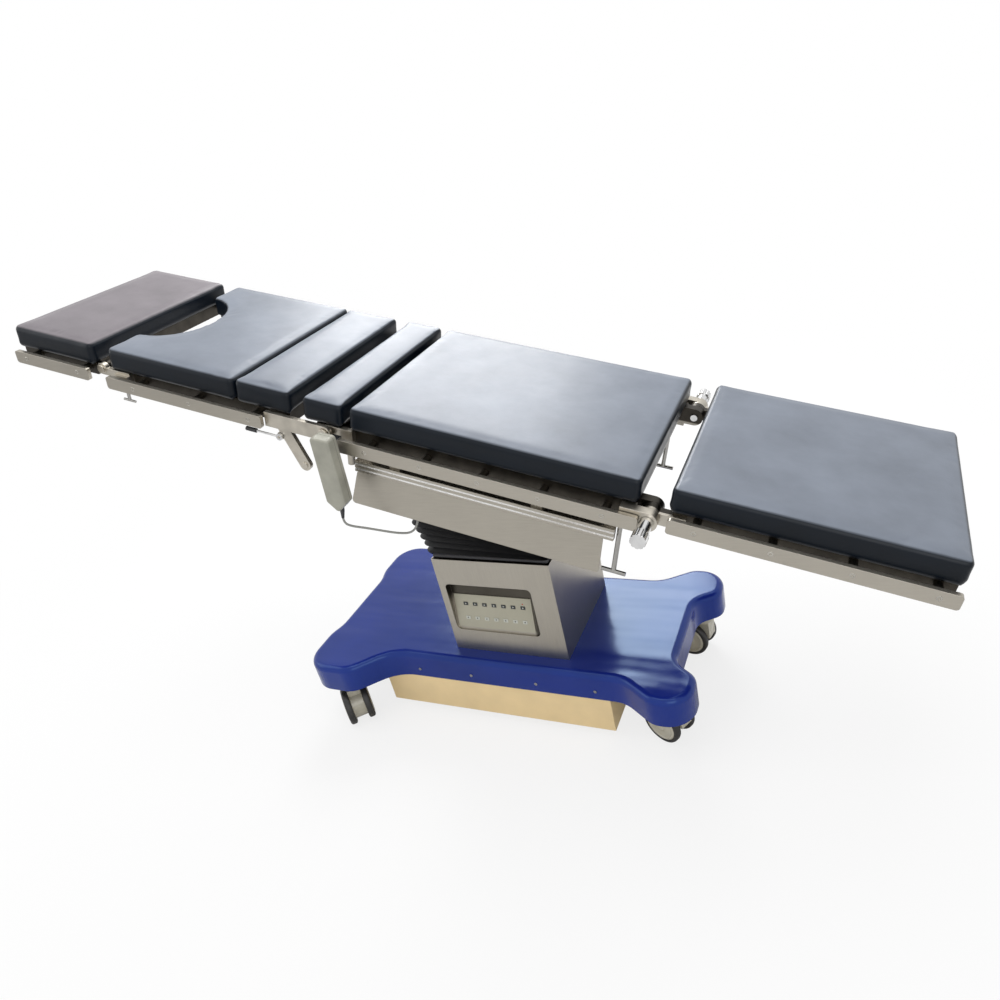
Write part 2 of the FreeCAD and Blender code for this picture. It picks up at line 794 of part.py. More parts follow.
# Seat section frame: deep side members that carry the bridge guides, hinge pins and leg knuckles
SEAT_FRAME = ("(seat_start + frame_inset)", f"({SEAT_END} - frame_inset)")
MEMBER = (f"({BRIDGE_MIDDLE} - 21)", SEAT_END)
MEMBER_TOP = f"({UNDER_PLATE} - 3)"
MEMBER_LOW = f"({UNDER_PLATE} - seat_member_deep)"
pieces = [pad_plate("seat_plate", *SEAT_FRAME)]
pieces += side_tubes("seat", *SEAT_FRAME, "tube_deep")
pieces.append(cross_tube("seat_cross_head", SEAT_FRAME[0], "tube_deep"))
pieces.append(cross_tube("seat_cross_middle", "seat_start + seat_length / 2", "tube_deep"))
pieces.append(cross_tube("seat_cross_leg", f"{SEAT_FRAME[1]} - tube_wide", "tube_deep"))
guide_span = ("-frame_half", "frame_half")
guide_ends = (f"{BRIDGE_MIDDLE} - 21", f"{BRIDGE_MIDDLE} + 21")
pieces.append(box("guide_bar", guide_ends, guide_span, (f"{MEMBER_LOW} + 9", f"{MEMBER_LOW} + 21")))
tools = []
for word, side in sides():
    width = across(side, "frame_half - tube_wide", "frame_half")
    pieces.append(box(f"seat_member_{word}", MEMBER, width, (MEMBER_LOW, MEMBER_TOP)))
    width = across(side, "frame_half - 2", f"frame_half + eye_thick")
    strap = ((BACK_HINGE[0], SEAT_FRAME[0]), ("-back_hinge_drop - lug_radius", "-pad_thick - 3"))
    pieces.append(eye_plate(f"back_lug_{word}", BACK_HINGE, strap, width, "lug_radius - 1"))
    width = across(side, "frame_half", "arm_inner + arm_thick + 1")
    pieces.append(crosswise(f"back_pin_{word}", "pin_radius", BACK_HINGE, width))
    width = across(side, "arm_inner + arm_thick + 1", "arm_inner + arm_thick + 5")
    pieces.append(crosswise(f"back_pin_cap_{word}", "pin_radius + 5", BACK_HINGE, width))
    at = f"{side} * post_side"
    spot = (BRIDGE_MIDDLE, at, "-guide_top - guide_long")
    pieces.append(rod(f"guide_{word}", "guide_radius", "guide_long", spot))
    spot = (BRIDGE_MIDDLE, at, "-guide_top - guide_long - 1")
    tools.append(rod(f"guide_bore_{word}", "post_radius + pin_play", "guide_long + 2", spot))
    ear_high = ("-leg_hinge_drop - knuckle_radius", "-leg_hinge_drop + knuckle_radius")
    ear_strap = ((f"{SEAT_END} - 32", LEG_HINGE[0]), ear_high)
    width = across(side, "knuckle_inner", "knuckle_inner + ear_thick")
    pieces.append(eye_plate(f"inner_ear_{word}", LEG_HINGE, ear_strap, width, "knuckle_radius", SHAFT_BORE))
    width = across(side, "knuckle_outer - ear_thick", "knuckle_outer")
    pieces.append(eye_plate(f"outer_ear_{word}", LEG_HINGE, ear_strap, width, "knuckle_radius", SHAFT_BORE))
    width = across(side, "frame_half", "knuckle_outer - ear_thick")
    pieces.append(box(f"ear_stand_{word}", (f"{SEAT_END} - 32", f"{SEAT_END} - 4"), width, ear_high))
    spot = (LEG_SCREW, f"{side} * leg_screw_side", f"{MEMBER_LOW} - 1")
    tools.append(rod(f"leg_screw_hole_{word}", "leg_screw_radius + pin_play", "22", spot))
keep(cut("seat_frame", fuse("seat_frame_blank", pieces), fuse("seat_holes", tools)), "seat_frame", "top")
SEAT_RAIL = ("(seat_start - 32)", f"({SEAT_END} + leg_hinge_ahead - clamp_sleeve_radius - 2)")
ends = (f"{SEAT_RAIL[0]} + 85", f"{SEAT_END} - 60")
keep(rail_pair("seat_rail", *SEAT_RAIL, "seat_rail_top", *ends, 5), "seat_rails", "top")

# Leg section frame: its lugs turn on the clamp shafts
LEG_FRAME = (f"({LEG_START} + frame_inset)", f"({LEG_END} - frame_inset)")
pieces = [pad_plate("leg_plate", *LEG_FRAME)]
pieces += side_tubes("leg", *LEG_FRAME, "tube_deep")
pieces.append(cross_tube("leg_cross_inner", LEG_FRAME[0], "tube_deep"))
pieces.append(cross_tube("leg_cross_outer", f"{LEG_FRAME[1]} - tube_wide", "tube_deep"))
for word, side in sides():
    width = across(side, "knuckle_inner + ear_thick + side_play", "knuckle_outer - ear_thick - side_play")
    strap = ((LEG_HINGE[0], f"{LEG_START} + 36"), ("-leg_hinge_drop - 13", "-leg_hinge_drop + 12"))
    pieces.append(eye_plate(f"leg_lug_{word}", LEG_HINGE, strap, width, "knuckle_radius", SHAFT_BORE))
keep(fuse("leg_frame", pieces), "leg_frame", "top")
ends = (f"{LEG_RAIL[0]} + 50", f"{LEG_RAIL[1]} - spacer_inset")
keep(rail_pair("leg_rail", *LEG_RAIL, "leg_rail_top", *ends, 4), "leg_rails", "top")

# Clamp knobs of the leg section: a shaft through the knuckle, a sleeve and a fluted grip
FLUTES = 10
for word, side in sides():
    width = across(side, "knuckle_inner - 4", "clamp_sleeve_out")
    pieces = [crosswise(f"leg_shaft_{word}", "clamp_shaft_radius", LEG_HINGE, width)]
    width = across(side, "knuckle_outer + side_play", "clamp_sleeve_out")
    pieces.append(crosswise(f"leg_sleeve_{word}", "clamp_sleeve_radius", LEG_HINGE, width))
    width = across(side, "clamp_sleeve_out", "clamp_sleeve_out + knob_long")
    pieces.append(crosswise(f"leg_grip_{word}", "knob_radius", LEG_HINGE, width))
    flutes = []
    for k in range(FLUTES):
        turn = f"{k} * 360deg / {FLUTES}"
        centre = (
            f"{LEG_HINGE[0]} + (knob_radius + flute_out) * cos({turn})",
            f"{LEG_HINGE[1]} + (knob_radius + flute_out) * sin({turn})",
        )
        flutes.append(crosswise(f"flute_{word}_{k}", "flute_radius", centre, past(width)))
    grip = cut(f"fluted_grip_{word}", pieces.pop(), fuse(f"flutes_{word}", flutes))
    keep(fuse(f"leg_knob_{word}", [*pieces, grip]), f"leg_knob_{word}", "top")

# Kidney bridge: a plate on two posts that slide in the seat frame
half = ("-frame_half + 14", "frame_half - 14")
along = (f"{BRIDGE_START} + frame_inset", f"{BRIDGE_END} - frame_inset")
pieces = [box("bridge_plate", along, half, (UNDER_PLATE, UNDER_PAD))]
for word, side in sides():
    spot = (BRIDGE_MIDDLE, f"{side} * post_side", f"{UNDER_PLATE} - post_long")
    pieces.append(rod(f"bridge_post_{word}", "post_radius", "post_long", spot))
keep(fuse("bridge_frame", pieces), "bridge_frame", "top")

# Roll frame under the seat: beams, stands and two bearing plates on the roll shaft
ROLL = "(roll_over_axis - top_over_axis)"
BEAM = ("cover_start + 10", "cover_end - 9")
BEAM_HIGH = ("-beam_bottom", "-channel_top")
pieces = []
for word, side in sides():
    width = across(side, "beam_inner", "beam_inner + beam_wide")
    pieces.append(box(f"roll_beam_{word}", BEAM, width, BEAM_HIGH))
    for k, at in enumerate(("-roll_bearing_at", "roll_bearing_at")):
        width = across(side, "beam_inner", "frame_half")
        thick = (f"{at} - roll_bearing_thick / 2", f"{at} + roll_bearing_thick / 2")
        pieces.append(box(f"stand_{word}_{k}", thick, width, ("-channel_top - channel_high", MEMBER_LOW)))
    width = across(side, "frame_half - 2", "frame_half - 2 + channel_wide")
    channel = ("cover_start - 2", "cover_end + 21")
    pieces.append(box(f"channel_{word}", channel, width, ("-channel_top - channel_high", "-channel_top")))
tools = []
for k, at in enumerate(("-roll_bearing_at", "roll_bearing_at")):
    thick = (f"{at} - roll_bearing_thick / 2", f"{at} + roll_bearing_thick / 2")
    pieces.append(box(f"bearing_plate_{k}", thick, ("-beam_inner", "beam_inner"), BEAM_HIGH))
    boss = (thick[0], "0", ROLL)
    pieces.append(rod(f"bearing_boss_{k}", "roll_boss_radius", "roll_bearing_thick", boss, "x"))
    bore = (thick[0] + " - 1", "0", ROLL)
    fit = "roll_shaft_radius + pin_play"
    tools.append(rod(f"bearing_bore_{k}", fit, "roll_bearing_thick + 2", bore, "x"))
for word, side in sides():
    for k, up in enumerate(("groove_low", "groove_high")):
        width = across(side, "frame_half - 2 + channel_wide - groove_deep", "frame_half - 1 + channel_wide")
        low = f"-channel_top - channel_high + {up}"
        groove = ("cover_start - 3", "cover_end + 22")
        tools.append(box(f"channel_groove_{word}_{k}", groove, width, (low, f"{low} + groove_wide")))
blank = fuse("table_frame_blank", pieces)
keep(cut("table_frame", blank, fuse("table_frame_tools", tools)), "table_frame", "top")

# Side covers: thin sheets whose head end leans
for word, side in sides():
    body = body_of(f"side_sheet_{word}")
    corners = (
        ("cover_start", "-cover_top"),
        ("cover_start - cover_lean", "-cover_bottom"),
        ("cover_end", "-cover_bottom"),
        ("cover_end", "-cover_top"),
    )
    inner = "cover_side - cover_thick" if side > 0 else "cover_side"
    flat = outline(body, f"side_outline_{word}", corners, "XZ_Plane", f"{-side} * ({inner})")
    sheet_pad = pad(body, f"side_plate_{word}", flat, "cover_thick", True)
    fillet(body, f"side_round_{word}", sheet_pad, lies_across, "cover_round")
    width = across(side, "beam_inner + beam_wide", "cover_side - cover_thick + 1")
    lip = box(f"side_lip_{word}", BEAM, width, ("-cover_top - lip_high", "-cover_top"))
    keep(fuse(f"side_cover_{word}", [body, lip]), f"side_cover_{word}", "top")

# Tilt yoke: a hub on the tilt shaft, a flange over it and two lugs that carry the roll shaft
SHAFT_FIT = "tilt_shaft_radius + pin_play"
FLANGE_TOP = "(flange_over_axis + flange_thick)"
hub = rod("tilt_hub", "tilt_boss_radius", "2 * cheek_inner - 12", ("0", "-cheek_inner + 6", "0"), "y")
hub_wide = ("-cheek_inner + 6", "cheek_inner - 6")
web = box("tilt_web", ("-tilt_boss_radius", "tilt_boss_radius"), hub_wide, ("0", "flange_over_axis"))
half_long = ("-flange_half_long", "flange_half_long")
half_wide = ("-flange_half_wide", "flange_half_wide")
flange = box("tilt_flange", half_long, half_wide, ("flange_over_axis", FLANGE_TOP))
pieces = [hub, web, flange]
tools = [rod("tilt_bore", SHAFT_FIT, "2 * cheek_inner", ("0", "-cheek_inner", "0"), "y")]
for k, at in enumerate(("-roll_lug_at", "roll_lug_at")):
    thick = (f"{at} - roll_lug_thick / 2", f"{at} + roll_lug_thick / 2")
    lug = ("-roll_boss_radius - 8", "roll_boss_radius + 8")
    pieces.append(box(f"roll_lug_{k}", thick, lug, (FLANGE_TOP, "roll_over_axis")))
    spot = (thick[0], "0", "roll_over_axis")
    pieces.append(rod(f"roll_lug_round_{k}", "roll_boss_radius + 8", span(*thick), spot, "x"))
    spot = (thick[0] + " - 1", "0", "roll_over_axis")
    tools.append(rod(f"roll_lug_bore_{k}", "roll_shaft_radius", "roll_lug_thick + 2", spot, "x"))
keep(cut("tilt_yoke", fuse("tilt_yoke_blank", pieces), fuse("tilt_yoke_tools", tools)), "tilt_yoke", "head")

# Roll shaft, which lies along the tilted top
roll_half = "(roll_bearing_at + roll_bearing_thick / 2 + 6)"
roll_x = "column_x + roll_over_axis * sin(rest_tilt * 1deg)"
roll_z = "tilt_axis_height + roll_over_axis * cos(rest_tilt * 1deg)"
start = (f"-{roll_half}", "0", "roll_over_axis")
shaft = keep(rod("roll_shaft", "roll_shaft_radius", f"2 * {roll_half}", start, "x"), "roll_shaft")
bind(shaft, Placement__Base__x=f"{roll_x} - {roll_half} * cos(rest_tilt * 1deg)")
bind(shaft, Placement__Base__z=f"{roll_z} + {roll_half} * sin(rest_tilt * 1deg)")
shaft.Placement.Rotation = FreeCAD.Rotation(FreeCAD.Vector(0, 1, 0), 90)
bind(shaft, Placement__Rotation__Axis__x="0", Placement__Rotation__Axis__y="1")
bind(shaft, Placement__Rotation__Axis__z="0", Placement__Rotation__Angle="rest_tilt + 90")

# Column head: a plate over the mast and two cheeks that hold the tilt shaft
COVER_TOP = "(base_top + column_cover_high)"
PLATE_LOW = f"({COVER_TOP} + sheet_wall)"
PLATE_TOP = f"({PLATE_LOW} + head_plate_thick)"
mast = ("-mast_half", "mast_half")
inner = ("-mast_half + mast_wall", "mast_half - mast_wall")
mast_high = ("mast_low", PLATE_LOW)
mast_void = box("mast_inner", inner, inner, past(mast_high))
tube = cut("mast_tube", box("mast_outer", mast, mast, mast_high), mast_void)
plate_long = ("-shroud_half_long - 4", "shroud_half_long + 4")
plate_wide = ("-cover_half_wide + 7", "cover_half_wide - 7")
pieces = [tube, box("head_plate_block", plate_long, plate_wide, (PLATE_LOW, PLATE_TOP))]
foot_long = ("-tilt_boss_radius - 16", "tilt_boss_radius + 16")
foot_high = (PLATE_LOW, "tilt_axis_height - tilt_boss_radius")
neck_long = ("-tilt_boss_radius", "tilt_boss_radius")
axis = ("0", "tilt_axis_height")
tools = []
for word, side in sides():
    width = across(side, "cheek_inner", "cheek_inner + cheek_thick")
    pieces.append(box(f"cheek_{word}", foot_long, width, foot_high))
    pieces.append(box(f"cheek_neck_{word}", neck_long, width, (PLATE_LOW, "tilt_axis_height")))
    pieces.append(crosswise(f"cheek_boss_{word}", "tilt_boss_radius", axis, width))
    tools.append(crosswise(f"cheek_bore_{word}", "tilt_shaft_radius", axis, past(width)))
blank = fuse("column_head_blank", pieces)
keep(cut("column_head", blank, fuse("cheek_bores", tools)), "column_head", "column")
shaft_half = "(cheek_inner + cheek_thick + 4)"
start = ("column_x", f"-{shaft_half}", "tilt_axis_height")
keep(rod("tilt_shaft", "tilt_shaft_radius", f"2 * {shaft_half}", start, "y"), "tilt_shaft")

# Inner column shroud
outer_x = ("-shroud_half_long", "shroud_half_long")
outer_y = ("-shroud_half_wide", "shroud_half_wide")
inner_x = ("-shroud_half_long + sheet_wall", "shroud_half_long - sheet_wall")
inner_y = ("-shroud_half_wide + sheet_wall", "shroud_half_wide - sheet_wall")
shroud_high = ("shroud_low", PLATE_LOW)
shroud = box("shroud_outer", outer_x, outer_y, shroud_high)
hollow = box("shroud_inner", inner_x, inner_y, past(shroud_high))
keep(cut("inner_column", shroud, hollow), "inner_column", "column")

# Lift: a ram in a cylinder, inside a square mast that slides in a guide tube
guide = ("-mast_half - mast_play - guide_wall", "mast_half + mast_play + guide_wall")
bore = ("-mast_half - mast_play", "mast_half + mast_play")
blank = box("lift_guide_outer", guide, guide, ("guide_low", "guide_column_top"))
tools = [
    box("lift_guide_bore", bore, bore, ("guide_low + guide_wall", "guide_column_top + 1")),
    rod("lift_guide_floor_hole", "cylinder_radius", "guide_wall + 2", ("0", "0", "guide_low - 1")),
]
keep(cut("lift_guide", blank, fuse("lift_guide_tools", tools)), "lift_guide", "column")
foot = ("0", "0", "cylinder_low")
blank = rod("lift_cylinder_body", "cylinder_radius", "cylinder_top - cylinder_low", foot)
foot = ("0", "0", "ram_low - 2")
bore = rod("lift_cylinder_bore", "ram_radius + pin_play", "cylinder_top - ram_low + 3", foot)
keep(cut("lift_cylinder", blank, bore), "lift_cylinder", "column")
keep(rod("lift_ram", "ram_radius", f"{PLATE_LOW} - ram_low", ("column_x", "0", "ram_low")), "lift_ram")

# Column cover with a sunk control panel on its near face
cover_x = ("-cover_half_long", "cover_half_long")
cover_y = ("-cover_half_wide", "cover_half_wide")
hollow_x = ("-cover_half_long + sheet_wall", "cover_half_long - sheet_wall")
hollow_y = ("-cover_half_wide + sheet_wall", "cover_half_wide - sheet_wall")
cover_high = ("base_top", COVER_TOP)
cover_void = box("cover_inner", hollow_x, hollow_y, past(cover_high))
shell = cut("cover_shell", box("cover_outer", cover_x, cover_y, cover_high), cover_void)
RECESS = ("base_top + recess_low", "base_top + recess_high")


def recess_form(name, wall, out):
    """The sunk wedge of the panel, deep at its top and shallow at its bottom, inside a wall."""
    body = body_of(name)
    low, high = f"{RECESS[0]} - {wall}", f"{RECESS[1]} + {wall}"
    corners = (
        (f"-cover_half_wide - {out}", low),
        (f"-cover_half_wide + recess_lip + {wall}", low),
        (f"-cover_half_wide + recess_deep + {wall}", high),
        (f"-cover_half_wide - {out}", high),
    )
    flat = outline(body, name + "_outline", corners, "YZ_Plane", f"recess_from - {wall}")
    solid = pad(body, name + "_block", flat, f"recess_to - recess_from + 2 * {wall}")
    fillet(body, name + "_corners", solid, lies_across, f"recess_round + {wall}")
    return body


tray = recess_form("recess_tray", "sheet_wall", "0")
void = recess_form("recess_void", "0", "1")
keep(cut("column_cover", fuse("cover_with_tray", [shell, tray]), void), "column_cover", "column")

# Control panel, which leans with the back of its recess: a plate and two rows of keys
PANEL_LEAN = "atan((recess_deep - recess_lip) / (recess_high - recess_low))"
PANEL_HIGH = f"((recess_high - recess_low) / cos({PANEL_LEAN}))"
KEY_ROWS = (0.22, 0.5)
KEYS = 7
width = ("recess_from + panel_margin", "recess_to - panel_margin")
height = ("panel_margin", f"{PANEL_HIGH} - panel_margin")
pieces = [box("panel_plate", width, ("-panel_thick", "0"), height)]
for row, share in enumerate(KEY_ROWS):
    for column in range(KEYS):
        left = f"recess_from + 30 + {column} * (recess_to - recess_from - 72) / {KEYS - 1}"
        low = f"{share} * {PANEL_HIGH}"
        depth = ("-panel_thick - key_proud", "-panel_thick + 1")
        key_long, key_tall = (left, f"{left} + key_wide"), (low, f"{low} + key_high")
        pieces.append(box(f"panel_key_{column}_{row}", key_long, depth, key_tall))
panel = keep(fuse("control_panel", pieces), "control_panel")
bind(panel, Placement__Base__x="column_x", Placement__Base__y="-cover_half_wide + recess_lip")
bind(panel, Placement__Base__z="base_top + recess_low", Placement__Rotation__Angle=f"-{PANEL_LEAN}")
bind(panel, Placement__Rotation__Axis__x="1", Placement__Rotation__Axis__y="0")
bind(panel, Placement__Rotation__Axis__z="0")

# Mains inlet on the head-end face of the column cover
inlet_x = ("-cover_half_long - inlet_proud", "-cover_half_long")
inlet_z = ("base_top + inlet_low", "base_top + inlet_high")
inlet = box("inlet_frame", inlet_x, ("-inlet_half", "inlet_half"), inlet_z)
flap_x = ("-cover_half_long - flap_proud", "-cover_half_long - inlet_proud")
flap_z = ("base_top + flap_low", "base_top + flap_high")
flap = box("inlet_flap", flap_x, ("-flap_half", "flap_half"), flap_z)
keep(fuse("mains_inlet", [inlet, flap]), "mains_inlet", "column")

# Base cover: a shell whose lobes spread over the castors
NEAR = (
    ("foot_side", "foot_side_in", "round_side_foot"),
    ("foot_lobe_out", "foot_lobe_in", "round_lobe_in_foot"),
    ("foot_lobe_out", "foot_lobe_half", "round_lobe_foot"),
    ("foot_shoulder", "foot_lobe_half", "round_shoulder_foot"),
    ("waist_foot", "waist_half", "round_waist_foot"),
    ("-waist_head", "waist_half", "round_waist_head"),
    ("-head_shoulder", "head_lobe_half", "round_shoulder_head"),
    ("-head_lobe_out", "head_lobe_half", "round_lobe_head"),
    ("-head_lobe_out", "head_lobe_in", "round_side_head"),
    ("-head_side", "head_side_in", "round_side_head"),
)


def near_corner(edge, along, out):
    """Whether an upright edge stands at a corner of the outline, on either side."""
    middle = edge.BoundBox.Center
    return upright(edge) and abs(middle.x - along) < 0.5 and abs(abs(middle.y) - out) < 0.5


def signed(text):
    """The number that an alias stands for, with its sign."""
    return -size(text[1:]) if text.startswith("-") else size(text)


body = body_of("base_cover")
corners = [(along, "-" + out) for along, out, radius in NEAR]
corners += [(along, out) for along, out, radius in reversed(NEAR)]
plan = outline(body, "base_outline", corners, offset="skirt_bottom")
form = pad(body, "base_block", plan, "base_top - skirt_bottom")
for k, (along, out, radius) in enumerate(NEAR):
    at = (signed(along), signed(out))
    form = fillet(body, f"base_corner_{k}", form, lambda edge, at=at: near_corner(edge, *at), radius)
doc.recompute()
form = fillet(body, "base_top_round", form, level_at(size("base_top")), "top_round")
doc.recompute()
lowest = size("skirt_bottom") + 0.01
under = [f"Face{n}" for n, face in enumerate(form.Shape.Faces, start=1) if face.BoundBox.ZMax < lowest]
hollow = body.newObject("PartDesign::Thickness", "base_hollow")
hollow.Base = (form, under)
bind(hollow, Value="cover_wall")
doc.recompute()
opening_half = ("cover_half_long - 3", "cover_half_wide - 25")
plan = (
    (f"-({opening_half[0]})", f"-({opening_half[1]})"),
    (opening_half[0], f"-({opening_half[1]})"),
    (opening_half[0], opening_half[1]),
    (f"-({opening_half[0]})", opening_half[1]),
)
pocket(body, "column_way", outline(body, "column_way_plan", plan, offset="base_top"), "cover_wall + 1")
keep(body, "base_cover", "column")

# Small screws along the skirt
heads = []
places = (
    "-waist_head + screw_first",
    "-waist_head + screw_second",
    "waist_foot - screw_second",
    "waist_foot - screw_first",
)
for word, side in sides():
    width = across(side, "waist_half", "waist_half + screw_proud")
    for k, at in enumerate(places):
        spot = (at, "skirt_bottom + screw_up")
        heads.append(crosswise(f"skirt_screw_{word}_{k}", "screw_radius", spot, width))
keep(group("skirt_screws", heads), "skirt_screws", "column")

# Base pan
def pan_plan(inset):
    """The pan's spans along and across, a distance inside its walls."""
    return (f"-pan_head + {inset}", f"pan_foot - {inset}"), (f"-pan_half + {inset}", f"pan_half - {inset}")


pan_outer = box("pan_outer", *pan_plan("0"), ("pan_low", "skirt_bottom"))
pan_inner = box("pan_inner", *pan_plan("pan_wall"), ("pan_low + pan_wall", "skirt_bottom + 1"))
rim_high = ("skirt_bottom - pan_rim_thick", "skirt_bottom")
rim_outer = box("pan_rim_outer", *pan_plan("0"), rim_high)
rim_inner = box("pan_rim_inner", *pan_plan("pan_rim_wide"), past(rim_high))
pan = [cut("pan_tray", pan_outer, pan_inner), cut("pan_rim", rim_outer, rim_inner)]
keep(fuse("base_pan", pan), "base_pan", "column")

# Battery on the floor of the pan
battery_long = ("-pan_head + battery_in", "-pan_head + battery_in + battery_long")
battery_high = ("pan_low + pan_wall", "pan_low + pan_wall + battery_high")
battery_wide = ("-battery_half", "battery_half")
battery = keep(box("battery_block", battery_long, battery_wide, battery_high), "battery_pack")
bind(battery, Placement__Base__x="column_x - pan_head + battery_in")

# Chassis: long beams, cross beams over the castors and posts under the base cover
CHASSIS = ("chassis_low", "chassis_low + chassis_high")
pieces = []
tools = []
for word, side in sides():
    width = across(side, "beam_side - chassis_beam / 2", "beam_side + chassis_beam / 2")
    along = ("-castor_head_x + beam_head_short", "castor_foot_x - beam_foot_short")
    pieces.append(box(f"long_beam_{word}", along, width, CHASSIS))
    for k, at in enumerate(("-castor_head_x + cover_post_head", "castor_foot_x - cover_post_foot")):
        spot = (at, f"{side} * beam_side", CHASSIS[0])
        post_high = "base_top - cover_wall - chassis_low"
        pieces.append(rod(f"cover_post_{word}_{k}", "cover_post_radius", post_high, spot))
reach = "(mast_half + mast_play + guide_wall)"
for k, ends in enumerate(((f"-{reach} - chassis_beam", f"-{reach}"), (reach, f"{reach} + chassis_beam"))):
    pieces.append(box(f"guide_beam_{k}", ends, ("-beam_side", "beam_side"), CHASSIS))
ENDS = (("head", "-castor_head_x", "castor_head_y"), ("foot", "castor_foot_x", "castor_foot_y"))
for end, along, out in ENDS:
    middle = along if end == "head" else f"{along} - 2 * castor_beam"
    ends = (f"{middle} - castor_beam / 2", f"{middle} + castor_beam / 2")
    pieces.append(box(f"{end}_beam", ends, (f"-{out}", out), CHASSIS))
    for word, side in sides():
        spot = (along, f"{side} * {out}", "chassis_low - castor_socket_below")
        socket_high = "chassis_high + castor_socket_below + castor_socket_above"
        pieces.append(rod(f"{end}_socket_{word}", "socket_radius", socket_high, spot))
        spot = (along, f"{side} * {out}", "chassis_low - castor_socket_below - 1")
        tools.append(rod(f"{end}_socket_bore_{word}", "stem_radius + pin_play", f"{socket_high} + 2", spot))
blank = fuse("chassis_blank", pieces)
keep(cut("base_chassis", blank, fuse("socket_bores", tools)), "base_chassis", "column")

# Castors: a fork between twin wheels, turned to the way each one trails
CASTORS = (
    ("head_near", "-castor_head_x", "-castor_head_y", "castor_turn_head_near"),
    ("head_far", "-castor_head_x", "castor_head_y", "castor_turn_head_far"),
    ("foot_near", "castor_foot_x", "-castor_foot_y", "castor_turn_foot_near"),
    ("foot_far", "castor_foot_x", "castor_foot_y", "castor_turn_foot_far"),
)


def turn_castor(item, name, along, out, turn):
    item.Label = name
    nodes.append(item)
    bind(item, Placement__Base__x=f"column_x + ({along})", Placement__Base__y=out)
    bind(item, Placement__Rotation__Axis__x="0", Placement__Rotation__Axis__y="0")
    bind(item, Placement__Rotation__Axis__z="1", Placement__Rotation__Angle=turn)


WHEEL_CENTRE = ("castor_trail", "wheel_radius")
for word, along, out, turn in CASTORS:
    body_half = ("-wheel_inner + side_play", "wheel_inner - side_play")
    core = crosswise(f"fork_core_{word}", "wheel_radius - fork_core_in", WHEEL_CENTRE, body_half)
    neck_long = ("-swivel_radius + fork_neck_in", "castor_trail + fork_neck_ahead")
    neck = box(f"fork_neck_{word}", neck_long, body_half, ("wheel_radius + fork_neck_over", "swivel_low"))
    crown = rod(f"fork_crown_{word}", "swivel_radius", "swivel_top - swivel_low", ("0", "0", "swivel_low"))
    stem_high = "chassis_low + chassis_high - swivel_top"
    stem = rod(f"fork_stem_{word}", "stem_radius", stem_high, ("0", "0", "swivel_top"))
    axle_wide = ("-wheel_inner - wheel_wide + 4", "wheel_inner + wheel_wide - 4")
    axle = crosswise(f"fork_axle_{word}", "axle_radius", WHEEL_CENTRE, axle_wide)
    fork = fuse(f"castor_fork_{word}", [core, neck, crown, stem, axle])
    turn_castor(fork, f"castor_fork_{word}", along, out, turn)
    for k, side in enumerate((-1, 1)):
        width = across(side, "wheel_inner", "wheel_inner + wheel_wide - wheel_chamfer")
        tread = crosswise(f"tread_{word}_{k}", "wheel_radius", WHEEL_CENTRE, width)
        outer_face = f"{side} * (wheel_inner + wheel_wide - wheel_chamfer)"
        spot = (WHEEL_CENTRE[0], outer_face, WHEEL_CENTRE[1])
        narrow = "wheel_radius - wheel_chamfer"
        rim = rod(f"rim_{word}_{k}", "wheel_radius", "wheel_chamfer", spot, "y", narrow)
        if side < 0:
            rim.Placement.Rotation = FreeCAD.Rotation(FreeCAD.Vector(1, 0, 0), 90)
        width = across(side, "wheel_inner - 1", "wheel_inner + wheel_wide - 4")
        bore = crosswise(f"wheel_bore_{word}_{k}", "axle_radius + pin_play + 0.01", WHEEL_CENTRE, width)
        wheel = cut(f"castor_wheel_{word}_{k + 1}", fuse(f"wheel_blank_{word}_{k}", [tread, rim]), bore)
        turn_castor(wheel, f"castor_wheel_{word}_{k + 1}", along, out, turn)

# Bellows: folded skin between the column head and the tilted flange
FOLDS = 10


def bellows_ring(name, share, swell):
    """One rounded rectangle of the skin, at a share of the way up and tilted in step."""
    long_half = f"(bellows_half_long + {share} * (flange_half_long - bellows_half_long) + {swell})"
    wide_half = f"(bellows_half_wide + {share} * (flange_half_wide - bellows_half_wide) + {swell})"
    points = []
    for x, y, first in ((1, 1, "x"), (-1, 1, "y"), (-1, -1, "x"), (1, -1, "y")):
        near_x = (f"{x} * {long_half}", f"{y} * ({wide_half} - bellows_corner)")
        near_y = (f"{x} * ({long_half} - bellows_corner)", f"{y} * {wide_half}")
        points += [near_x, near_y] if first == "x" else [near_y, near_x]
    ring = doc.addObject("Sketcher::SketchObject", name)
    trace(ring, points)
    rise = f"(tilt_axis_height + flange_over_axis * cos(rest_tilt * 1deg) - {PLATE_TOP})"
    bind(ring, Placement__Base__x=f"{share} * flange_over_axis * sin(rest_tilt * 1deg)")
    bind(ring, Placement__Base__z=f"{PLATE_TOP} + {share} * {rise}")
    bind(ring, Placement__Rotation__Axis__x="0", Placement__Rotation__Axis__y="1")
    bind(ring, Placement__Rotation__Axis__z="0", Placement__Rotation__Angle=f"{share} * rest_tilt")
    return ring


def loft(name, rings):
    skin = doc.addObject("Part::Loft", name)
    skin.Sections = rings
    skin.Solid = True
    skin.Ruled = True
    return skin


rings = []
for k in range(2 * FOLDS + 1):
    swell = "0" if k in (0, 2 * FOLDS) else ("bellows_fold" if k % 2 else "-bellows_fold")
    rings.append(bellows_ring(f"bellows_ring_{k}", f"{k} / {2 * FOLDS}", swell))
lining = [
    bellows_ring("lining_low", "-0.01", "-bellows_fold - bellows_skin"),
    bellows_ring("lining_high", "1.01", "-bellows_fold - bellows_skin"),
]
keep(cut("bellows", loft("bellows_skin_form", rings), loft("bellows_lining", lining)), "bellows", "column")

